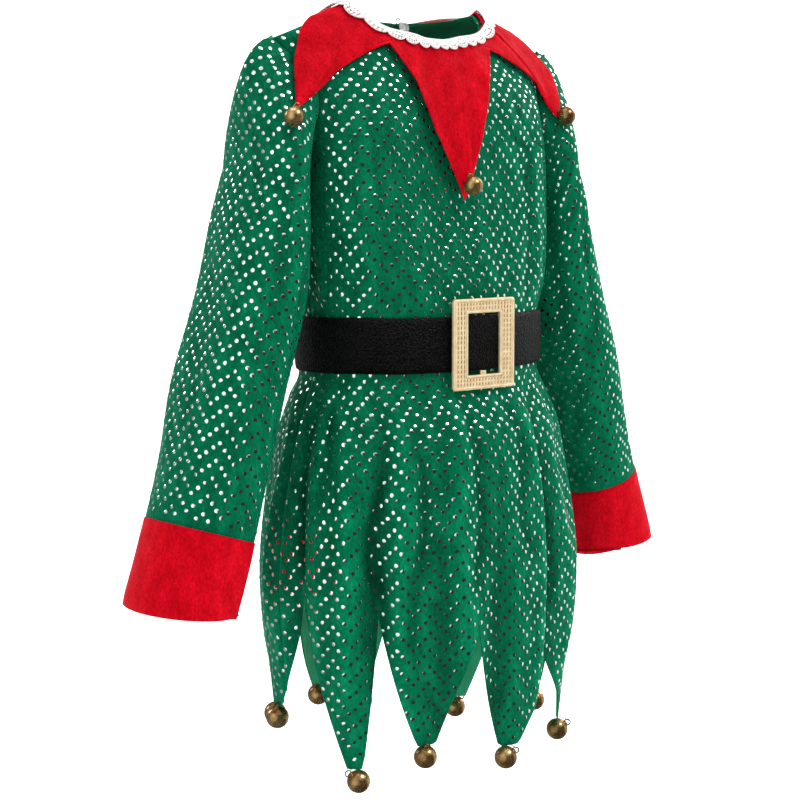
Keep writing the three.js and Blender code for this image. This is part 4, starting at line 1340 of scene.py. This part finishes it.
# The bed behind the slots is dark gold: painted shade seen where the slots go in
buckle_bed = frame_rim("buckle_bed", BUCKLE["width"] - 3, BUCKLE["height"] - 3, 2, 2, buckle_back,
                       buckle_front + 1.3, PAINTED_SHADE_GOLD,
                       (BUCKLE["window_width"] + 1.2, BUCKLE["window_height"] + 1.2))
tile = slot_tile()
plates = []
plate_tree = slotted_plate_tree(tile, GOLD_PLATE)
inner_width = BUCKLE["width"] - 2 * OUTER_RIM
band_high = (BUCKLE["height"] - BUCKLE["window_height"]) / 2 - OUTER_RIM - INNER_RIM
side_wide = (BUCKLE["width"] - BUCKLE["window_width"]) / 2 - OUTER_RIM - INNER_RIM
side_high = BUCKLE["height"] - 2 * OUTER_RIM - 2 * band_high
for name, x, z, wide, high, columns, rows in (
    ("top", 0, BUCKLE["height"] / 2 - OUTER_RIM - band_high / 2, inner_width, band_high, 18, 2),
    ("bottom", 0, -BUCKLE["height"] / 2 + OUTER_RIM + band_high / 2, inner_width, band_high, 18, 2),
    ("left", BUCKLE["width"] / 2 - OUTER_RIM - side_wide / 2, 0, side_wide, side_high, 3, 14),
    ("right", -BUCKLE["width"] / 2 + OUTER_RIM + side_wide / 2, 0, side_wide, side_high, 3, 14),
):
    cell_wide, cell_high = wide / columns, high / rows
    plate = placed("buckle_slots_" + name, bpy.data.meshes.new("plate"))
    with_nodes(plate, plate_tree, {
        "Columns": columns, "Rows": rows,
        "Width": (wide - cell_wide) * MM, "Height": (high - cell_high) * MM,
        "Tile": (cell_wide * MM, cell_high * MM, 2.0 * MM),
    })
    where = (Matrix.Translation((x * MM, (buckle_front + 0.55) * MM, (z + buckle_z) * MM))
             @ Matrix.Rotation(math.pi / 2, 4, "X"))
    plate.data.transform(where)
    plates.append(plate)
bpy.data.objects.remove(tile)
for ring in (buckle_frame, buckle_window, buckle_bed):
    recalculated(ring)
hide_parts("buckle")


def tube(name, path, radius, material, sides=8, closed=False):
    """A round wire or thread along a path in millimetres."""
    path = np.asarray(path, dtype=float)
    run = np.roll(path, -1, axis=0) - np.roll(path, 1, axis=0)
    if not closed:
        run[0], run[-1] = path[1] - path[0], path[-1] - path[-2]
    run /= np.linalg.norm(run, axis=1, keepdims=True)
    guide = np.array([0.31, 0.17, 0.93])
    first = np.cross(run, guide)
    first /= np.linalg.norm(first, axis=1, keepdims=True)
    second = np.cross(run, first)
    angles = np.arange(sides) * 2 * math.pi / sides
    rings = (path[:, None] + radius * (np.cos(angles)[None, :, None] * first[:, None]
                                       + np.sin(angles)[None, :, None] * second[:, None]))
    count = len(path)
    faces = []
    for k in range(count if closed else count - 1):
        m = (k + 1) % count
        for n in range(sides):
            o = (n + 1) % sides
            faces.append((k * sides + n, k * sides + o, m * sides + o, m * sides + n))
    points = rings.reshape(-1, 3)
    if not closed:
        faces.append(tuple(range(sides))[::-1])
        faces.append(tuple((count - 1) * sides + n for n in range(sides)))
    return recalculated(mesh_object(name, points, faces, material))


def joined(name, objects):
    """Several objects as one, keeping each one's finish."""
    work = bmesh.new()
    slots = []
    for item in objects:
        mesh = item.data
        for material in mesh.materials:
            if material not in slots:
                slots.append(material)
        shift = [slots.index(material) for material in mesh.materials]
        before = len(work.faces)
        work.from_mesh(mesh)
        work.faces.ensure_lookup_table()
        for face in work.faces[before:]:
            face.material_index = shift[face.material_index]
    mesh = bpy.data.meshes.new(name)
    work.to_mesh(mesh)
    work.free()
    for material in slots:
        mesh.materials.append(material)
    for item in objects:
        bpy.data.objects.remove(item)
    return placed(name, mesh)


# The small tab that stands up from the lower edge of the buckle's window
tab = frame_rim("buckle_tab", 5.5, 3.2, 0.5, 1.4, buckle_back - 0.2, buckle_back - 1.6, GOLD_PLATE)
tab.data.transform(Matrix.Translation((0.0, 0, (-BUCKLE["window_height"] / 2 + 1.4) * MM)))
recalculated(tab)

# A thread loop that stands up at the centre back of the neck: nine tenths of an oval
LOOP_HALF_WIDTH, LOOP_HALF_HEIGHT, LOOP_THREAD = 2.2, 3.0, 0.45
loop_top = CHEST + neckline_at(math.radians(180))
loop_share = np.linspace(0, 1, 14)
loop_turn = loop_share * 2 * math.pi * 0.9 + 0.3
loop_path = np.stack([loop_top[0] + 2.4 + LOOP_HALF_WIDTH * np.cos(loop_turn),
                      loop_top[1] - 1.2 - 0.4 * loop_share,
                      loop_top[2] + 0.8 + LOOP_HALF_HEIGHT * np.sin(loop_turn)], axis=-1)
thread_loop = tube("back_thread_loop", loop_path, LOOP_THREAD, GREEN_THREAD)


# Jingle bells: a thin brass shell with a cross of slots, a seam round it and a wire loop
def bell_surface(way, radius):
    """The shell's outer place in a direction: a ball with a raised seam that has a fine groove."""
    seam = 0.022 * math.exp(-((way.z / 0.045) ** 2)) - 0.012 * math.exp(-((way.z / 0.012) ** 2))
    return way * radius * (0.985 + seam)


def bell_shell(name, radius):
    """A ball from a cube of square faces, so that the slots follow straight lines."""
    lines = [-1, -0.86, -0.66, -0.45, -0.25, -0.09, 0.09, 0.25, 0.45, 0.66, 0.86, 1]
    work = bmesh.new()
    sides = [(0, 1, 2, 1), (0, 1, 2, -1), (1, 2, 0, 1), (1, 2, 0, -1), (2, 0, 1, 1), (2, 0, 1, -1)]
    for a_axis, b_axis, c_axis, sign in sides:
        verts = {}
        for i, a in enumerate(lines):
            for j, b in enumerate(lines):
                place = [0.0, 0.0, 0.0]
                place[a_axis] = math.tan(a * math.pi / 4)
                place[b_axis] = math.tan(b * math.pi / 4)
                place[c_axis] = sign
                verts[i, j] = work.verts.new(bell_surface(Vector(place).normalized(), radius))
        last = len(lines) - 2
        middle = last // 2
        bottom = c_axis == 2 and sign < 0
        for i in range(last + 1):
            for j in range(last + 1):
                if bottom and middle in (i, j) and 1 <= i < last and 1 <= j < last:
                    continue
                corners = [verts[i, j], verts[i + 1, j], verts[i + 1, j + 1], verts[i, j + 1]]
                work.faces.new(corners if sign > 0 else corners[::-1])
    bmesh.ops.remove_doubles(work, verts=work.verts, dist=radius * 1e-3)
    bmesh.ops.subdivide_edges(work, edges=work.edges, cuts=1, use_grid_fill=True)
    for vert in work.verts:
        vert.co = bell_surface(vert.co.normalized(), radius)
    work.normal_update()
    bmesh.ops.solidify(work, geom=work.faces[:], thickness=radius * 0.07)
    mesh = bpy.data.meshes.new(name)
    work.to_mesh(mesh)
    work.free()
    mesh.polygons.foreach_set("use_smooth", [True] * len(mesh.polygons))
    mesh.materials.append(BELL_BRASS)
    made = placed(name, mesh)
    made.data.transform(Matrix.Scale(MM, 4))
    return recalculated(made)


def basis(up, face):
    """Turns +Z to up and keeps the slots' cross towards face."""
    up = up.normalized()
    side = up.cross(face).normalized()
    fore = side.cross(up)
    return Matrix((side, fore, up)).transposed().to_4x4()


def bell(name, node, size, centre, loop_way, hang_from, thread):
    """A bell with its loop, and the thread that ties the loop to the cloth."""
    radius = size / 2
    ball = bell_shell(name + "_ball", radius)
    loop_angles = np.linspace(0, 2 * math.pi, 24, endpoint=False)
    ring = np.stack([radius * 0.27 * np.cos(loop_angles), 0 * loop_angles,
                     radius * (1.12 + 0.3 * np.sin(loop_angles))], axis=-1)
    loop = tube(name + "_loop", ring, radius * 0.065, BELL_BRASS, closed=True)
    foot_ring = np.stack([radius * 0.2 * np.cos(loop_angles), radius * 0.2 * np.sin(loop_angles),
                          np.full(24, radius * 0.985)], axis=-1)
    base = tube(name + "_base", foot_ring, radius * 0.06, BELL_BRASS, 6, True)
    pellet_points, pellet_faces = ball_points(radius * 0.3, (0.1 * radius, 0, -0.55 * radius))
    pellet = mesh_object(name + "_pellet", pellet_points, pellet_faces, BELL_BRASS)
    way = Vector(loop_way)
    placing = Matrix.Translation(Vector(centre) * MM) @ basis(way, Vector((-0.3, -1, 0.2)))
    parts = [ball, loop, base, pellet]
    for part in parts:
        part.data.transform(placing)
    eye = np.array(centre) + np.array(way.normalized()) * radius * 1.32
    tie = np.array(hang_from, dtype=float)
    for k in (-1, 1):
        sway = np.array([0.5 * k, 0.35 * k, 0.6])
        path = [tie, (tie * 0.6 + eye * 0.4) + sway * 1.2, (tie * 0.25 + eye * 0.75) + sway, eye]
        smooth_path = np.array([spline(np.array(path).T, np.array(t)) for t in np.linspace(0, 3, 13)])
        parts.append(tube(f"{name}_thread_{k}", smooth_path, 0.22, thread, 6))
    made = joined(name, parts)
    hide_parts(node)
    return made


def ball_points(radius, centre, rows=8, columns=12):
    points, faces = [(centre[0], centre[1], centre[2] + radius)], []
    for j in range(1, rows):
        for i in range(columns):
            down, turn = math.pi * j / rows, 2 * math.pi * i / columns
            points.append((centre[0] + radius * math.sin(down) * math.cos(turn),
                           centre[1] + radius * math.sin(down) * math.sin(turn),
                           centre[2] + radius * math.cos(down)))
    points.append((centre[0], centre[1], centre[2] - radius))
    last = len(points) - 1
    for i in range(columns):
        n = (i + 1) % columns
        faces.append((0, 1 + i, 1 + n))
        faces.append((last, last - columns + n, last - columns + i))
        for j in range(rows - 2):
            a, b = 1 + j * columns, 1 + (j + 1) * columns
            faces.append((a + i, b + i, b + n, a + n))
    return points, faces


RIGHT_OF_VIEW = Vector((0.766, -0.643, 0))
TO_VIEW = Vector((-0.643, -0.766, 0.1))
# Where each hem bell's loop points: to the right of the view, up, and towards the view
LOOPS = [(-0.75, 0.62, 0.2), (0.15, 0.85, 0.5), (0.72, 0.6, 0.25), (0.78, 0.55, 0.1), (0.2, 0.95, -0.1),
         (0.5, 0.82, -0.1), (-0.4, 0.85, -0.3), (-0.3, 0.9, -0.2), (0.4, 0.85, -0.2), (-0.1, 0.9, 0.35)]
BELL_GAP = 0.4
bells = []
for k, ((*_, tip, tip_z, _), (right, up, near)) in enumerate(zip(HEM_POINTS, LOOPS)):
    node = f"hem_bell_{k + 1}"
    end = body_point(float(tip), float(tip_z))
    inward = np.array([-end[0], -end[1], 0]) / math.hypot(end[0], end[1])
    spot = end + inward * 0.8
    centre = np.array([spot[0], spot[1], tip_z - HEM_BELL / 2 - BELL_GAP])
    way = RIGHT_OF_VIEW * right + Vector((0, 0, up)) + TO_VIEW * near
    bells.append(bell(node + "_brass", node, HEM_BELL, centre, way,
                      spot + np.array([0, 0, 1.5]), GREEN_THREAD))

for hand in ("front", "left", "right", "back_left", "back_right"):
    node = "collar_bell_" + hand
    low, high = (np.array(corner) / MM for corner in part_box(node))
    middle = (low + high) / 2
    out = middle - CHEST
    out /= np.linalg.norm(out)
    way = np.array([0, 0, 1]) - 0.45 * out
    way /= np.linalg.norm(way)
    centre = np.array([middle[0], middle[1], low[2] + COLLAR_BELL / 2])
    if hand == "front":
        way = np.array([-0.55, -0.2, 0.75])
    bells.append(bell(node + "_brass", node, COLLAR_BELL, centre, Vector(way),
                      centre - out * (COLLAR_BELL / 2 - 0.6) + np.array([0, 0, 5.5]), RED_THREAD))


# Silver dots: zigzag rows heat-pressed on the outside of the green velvet
DOT_RADIUS = 1.65
DOT_HEIGHT = 0.3
DOT_TILT = 0.1
DOT_STEP = 4.35
ROW_STEP = 3 * DOT_STEP
ZIGZAG = 3


def crossed(p, q):
    """Twice the area between two flat lines from one corner."""
    return p[:, 0] * q[:, 1] - p[:, 1] * q[:, 0]


def dot_places(grid, uv, edge_margin):
    """Dot centres and facings on a grid of cloth, from its flat map, kept clear of its edges."""
    flat = uv / MM
    normals = grid_normals(grid, False)
    across, down = surface_lengths(grid)
    below = down[-1:] - down
    margin = np.minimum(down, below * 0.35)
    margin = np.minimum(margin, np.minimum(across, across[:, -1:] - across))
    rows, cols = grid.shape[:2]
    j, i = np.meshgrid(np.arange(rows - 1), np.arange(cols - 1), indexing="ij")
    corner = [(j, i), (j + 1, i), (j + 1, i + 1), (j, i + 1)]
    found = {}
    for picks in ((0, 1, 2), (0, 2, 3)):
        tri = [corner[p] for p in picks]
        a, b, c = (flat[t].reshape(-1, 2) for t in tri)
        centre = (a + b + c) / 3
        column = np.round(centre[:, 0] / DOT_STEP).astype(int)
        for side in (-1, 0, 1):
            u_index = column + side
            phase = np.abs((u_index + ZIGZAG) % (2 * ZIGZAG) - ZIGZAG) * DOT_STEP
            row = np.round((centre[:, 1] - phase) / ROW_STEP).astype(int)
            dot = np.stack([u_index * DOT_STEP, phase + row * ROW_STEP], axis=-1)
            area = crossed(b - a, c - a)
            area = np.where(np.abs(area) < 1e-9, 1e-9, area)
            wb = crossed(dot - a, c - a) / area
            wc = crossed(b - a, dot - a) / area
            wa = 1 - wb - wc
            inside = np.nonzero((wa >= -1e-6) & (wb >= -1e-6) & (wc >= -1e-6))[0]
            weights = np.stack([wa, wb, wc], axis=-1)[inside]

            def blend(values):
                parts = [values[t].reshape(-1, *values.shape[2:])[inside] for t in tri]
                shaped = [weights[:, n].reshape(-1, *([1] * (values.ndim - 2))) for n in range(3)]
                return sum(p * w for p, w in zip(parts, shaped))

            places, facings, edges = blend(grid), blend(normals), blend(margin)
            for n, index in enumerate(inside):
                if edges[n] > edge_margin:
                    found[(int(u_index[index]), int(row[index]))] = (places[n], facings[n])
    keys = sorted(found)
    return np.array([found[key][0] for key in keys]), np.array([found[key][1] for key in keys])


def dots_tree():
    """A shallow foil dome on each point, turned to the cloth."""
    tree, start, end = node_tree("silver_dots", [("Radius", "NodeSocketFloat"), ("Height", "NodeSocketFloat"),
                                                 ("Sides", "NodeSocketInt")])
    nodes, link = tree.nodes, tree.links.new

    def scaled(name, factor):
        made = nodes.new("ShaderNodeMath")
        made.operation = "MULTIPLY"
        made.inputs[1].default_value = factor
        link(start.outputs[name], made.inputs[0])
        return made.outputs[0]

    layers = nodes.new("GeometryNodeJoinGeometry")
    for top, bottom, high, lift in ((0.66, 1.0, 0.5, 0.0), (0.0, 0.66, 0.22, 0.5)):
        cone = nodes.new("GeometryNodeMeshCone")
        cone.fill_type = "NONE"
        link(start.outputs["Sides"], cone.inputs["Vertices"])
        link(scaled("Radius", top), cone.inputs["Radius Top"])
        link(scaled("Radius", bottom), cone.inputs["Radius Bottom"])
        link(scaled("Height", high), cone.inputs["Depth"])
        move = nodes.new("GeometryNodeTransform")
        offset = nodes.new("ShaderNodeCombineXYZ")
        link(scaled("Height", lift), offset.inputs["Z"])
        link(offset.outputs["Vector"], move.inputs["Translation"])
        link(cone.outputs["Mesh"], move.inputs["Geometry"])
        link(move.outputs["Geometry"], layers.inputs["Geometry"])
    weld = nodes.new("GeometryNodeMergeByDistance")
    weld.inputs["Distance"].default_value = 0.02 * MM
    link(layers.outputs["Geometry"], weld.inputs["Geometry"])
    facing = nodes.new("GeometryNodeInputNamedAttribute")
    facing.data_type = "FLOAT_VECTOR"
    facing.inputs["Name"].default_value = "facing"
    turn = nodes.new("FunctionNodeAlignRotationToVector")
    turn.axis = "Z"
    link(facing.outputs["Attribute"], turn.inputs["Vector"])
    put = nodes.new("GeometryNodeInstanceOnPoints")
    link(start.outputs["Geometry"], put.inputs["Points"])
    link(weld.outputs["Geometry"], put.inputs["Instance"])
    link(turn.outputs["Rotation"], put.inputs["Rotation"])
    real = nodes.new("GeometryNodeRealizeInstances")
    link(put.outputs["Instances"], real.inputs["Geometry"])
    soft = nodes.new("GeometryNodeSetShadeSmooth")
    link(real.outputs["Geometry"], soft.inputs["Geometry"])
    paint = nodes.new("GeometryNodeSetMaterial")
    paint.inputs["Material"].default_value = SILVER_FOIL
    link(soft.outputs["Geometry"], paint.inputs["Geometry"])
    link(paint.outputs["Geometry"], end.inputs["Geometry"])
    return tree


dot_tree = dots_tree()
draw = np.random.default_rng(20)
dot_pieces = {}
for name, (grid, uv) in cloth_grids.items():
    is_sleeve = name.startswith("sleeve")
    if is_sleeve:
        half_round = grid.shape[1] // 2
        grid = np.roll(grid, half_round, axis=1)
        grid = np.concatenate([grid, grid[:, :1]], axis=1)
        uv = sleeve_map(grid, half_round, -8)
    places, facings = dot_places(grid, uv, 2.4 if is_sleeve else 1.6)
    facings = facings / np.linalg.norm(facings, axis=1, keepdims=True)
    facings = facings + draw.normal(0, DOT_TILT, facings.shape)
    facings /= np.linalg.norm(facings, axis=1, keepdims=True)
    mesh = bpy.data.meshes.new("dots")
    mesh.from_pydata(((places + facings * 0.02) * MM).tolist(), [], [])
    attribute = mesh.attributes.new("facing", "FLOAT_VECTOR", "POINT")
    attribute.data.foreach_set("vector", facings.astype(np.float32).ravel())
    dots = placed(name + "_dots", mesh)
    with_nodes(dots, dot_tree, {"Radius": DOT_RADIUS * MM, "Height": DOT_HEIGHT * MM,
                                "Sides": 10})
    recalculated(dots)
    dot_pieces[name] = dots


# What each piece rides on, as a table; every piece then hangs from one root
RESTS = {
    "front_panel": (), "back_panel_left": ("front_panel",), "back_panel_right": ("front_panel",),
    "sleeve_left": ("front_panel", "back_panel_left"), "sleeve_right": ("front_panel", "back_panel_right"),
    "cuff_left": ("sleeve_left",), "cuff_right": ("sleeve_right",),
    "collar": ("front_panel", "back_panel_left", "back_panel_right"), "neck_lace": ("collar",),
}
for name, (piece, flat, area, slot_name) in cloth_pieces.items():
    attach(piece, "root")
    list(RESTS[name])
for dots in dot_pieces.values():
    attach(dots, "root")
for piece in (belt, belt_lap):
    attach(piece, "root")
for piece in [buckle_frame, buckle_window, buckle_bed, tab] + plates:
    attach(piece, "root")
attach(lace_end, "root")
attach(thread_loop, "root")
for piece in bells:
    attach(piece, "root")


# Stage: a seamless pale floor that rises behind, where the wearer would stand
# Measures in metres; the sheet faces the camera
HEADING = math.radians(40)
FLOOR_Z = -0.95
FLOOR_START, FLOOR_END, SHEET_TOP = -6.0, 2.2, 6.0
BEND = 1.6
HALF_SHEET = 8
profile = [(FLOOR_START, FLOOR_Z), (FLOOR_END, FLOOR_Z)]
profile += [(FLOOR_END + BEND * math.sin(t), FLOOR_Z + BEND * (1 - math.cos(t)))
            for t in np.linspace(0, math.pi / 2, 14)[1:]]
profile += [(FLOOR_END + BEND, SHEET_TOP)]
far = Vector((math.sin(HEADING), math.cos(HEADING), 0))
aside = Vector((far.y, -far.x, 0))
stage_points, stage_faces = [], []
for run, height in profile:
    for reach in (-HALF_SHEET, HALF_SHEET):
        at = far * run + aside * reach
        stage_points.append((at.x, at.y, height))
for k in range(len(profile) - 1):
    stage_faces.append((2 * k, 2 * k + 1, 2 * k + 3, 2 * k + 2))
stage_mesh = bpy.data.meshes.new("paper_sweep")
stage_mesh.from_pydata(stage_points, [], stage_faces)
stage_mesh.polygons.foreach_set("use_smooth", [True] * len(stage_mesh.polygons))
paper = Finish("pale_paper", 0.9, Emission_Color=(1, 1, 1, 1), Emission_Strength=0.55)
paper_tone = paper.grey(paper.noise(paper.place(), 3, 2), 0.3, 0.93, 0.7, 0.96)
paper.link(paper_tone, paper.shader.inputs["Base Color"])
stage_mesh.materials.append(paper.material)
sweep = placed("paper_sweep", stage_mesh)
sweep.visible_glossy = False


# Camera at the photograph's angle
camera_data = bpy.data.cameras.new("view")
camera_data.sensor_width = 36
camera_data.lens = 85.7
camera_data.clip_end = 50
camera = placed("view", camera_data)
camera.location = (-0.9762, -1.1389, -0.134)
pitch = math.radians(6.59)
forward = Vector((math.sin(HEADING) * math.cos(pitch), math.cos(HEADING) * math.cos(pitch), -math.sin(pitch)))
camera.rotation_mode = "QUATERNION"
camera.rotation_quaternion = forward.to_track_quat("-Z", "Y")
bpy.context.scene.camera = camera


# Soft boxes: place, where each points, width, height, watts
LIGHTS = {
    "key": ((-2.4, -0.7, 0.7), (0, 0, -0.25), 1.0, 1.9, 4),
    "fill": ((1.0, -1.7, 2.1), (0, 0, -0.25), 0.9, 0.9, 56),
    "top": ((-0.3, 0.3, 2.3), (0, 0, 0), 1.6, 1.6, 14),
    "paper_left": ((-1.6, 3.2, 1.4), (1.6, 3.4, 0.2), 1.5, 1.5, 60),
    "paper_right": ((3.6, 0.6, 1.4), (2.2, 3.0, 0.2), 1.5, 1.5, 60),
}
for name, (place, target, wide, high, watts) in LIGHTS.items():
    light = bpy.data.lights.new(name, "AREA")
    light.shape = "RECTANGLE"
    light.size, light.size_y = wide, high
    light.energy = watts
    lamp = placed(name, light)
    lamp.location = place
    lamp.rotation_mode = "QUATERNION"
    lamp.rotation_quaternion = (Vector(target) - Vector(place)).to_track_quat("-Z", "Y")

world = bpy.data.worlds.new("studio")
world.use_nodes = True
bpy.context.scene.world = world
background = world.node_tree.nodes["Background"]


def room_node(kind, **settings):
    made = world.node_tree.nodes.new(kind)
    for key, value in settings.items():
        setattr(made, key, value)
    return made


room_link = world.node_tree.links.new
way = room_node("ShaderNodeTexCoord").outputs["Generated"]


def room_patch(direction, begin, full):
    """1 near a fixed direction of the room, fading to 0."""
    dot = room_node("ShaderNodeVectorMath", operation="DOT_PRODUCT")
    dot.inputs[1].default_value = Vector(direction).normalized()
    room_link(way, dot.inputs[0])
    fade = room_node("ShaderNodeMapRange", interpolation_type="SMOOTHSTEP")
    fade.inputs["From Min"].default_value = begin
    fade.inputs["From Max"].default_value = full
    room_link(dot.outputs["Value"], fade.inputs["Value"])
    return fade.outputs["Result"]


def room_mix(factor, first, second):
    made = room_node("ShaderNodeMix", data_type="FLOAT")
    room_link(factor, made.inputs[0])
    for socket, value in ((made.inputs[2], first), (made.inputs[3], second)):
        if isinstance(value, float):
            socket.default_value = value
        else:
            room_link(value, socket)
    return made.outputs[0]


# Patches of the room: direction, where each starts and is full, brightness
ROOM_PATCHES = [
    # A dark studio front, also behind the camera and low down
    ((0.25, -1, -0.1), 0.35, 0.75, 0.03), ((-0.64, -0.76, -0.05), 0.78, 0.93, 0.03),
    ((0.1, -0.5, -1), 0.4, 0.7, 0.03),
    # Bright walls to the left and right, and a bright ceiling
    ((-1, -0.25, 0.15), 0.72, 0.85, 1.1), ((1, 0, 0.1), 0.66, 0.84, 1.1), ((0, -0.2, 1), 0.55, 0.8, 0.9),
]
tone = 0.34
for direction, begin, full, brightness in ROOM_PATCHES:
    tone = room_mix(room_patch(direction, begin, full), tone, brightness)
room_link(tone, background.inputs["Color"])
background.inputs["Strength"].default_value = 1.0
bpy.context.scene.view_settings.view_transform = "Standard"
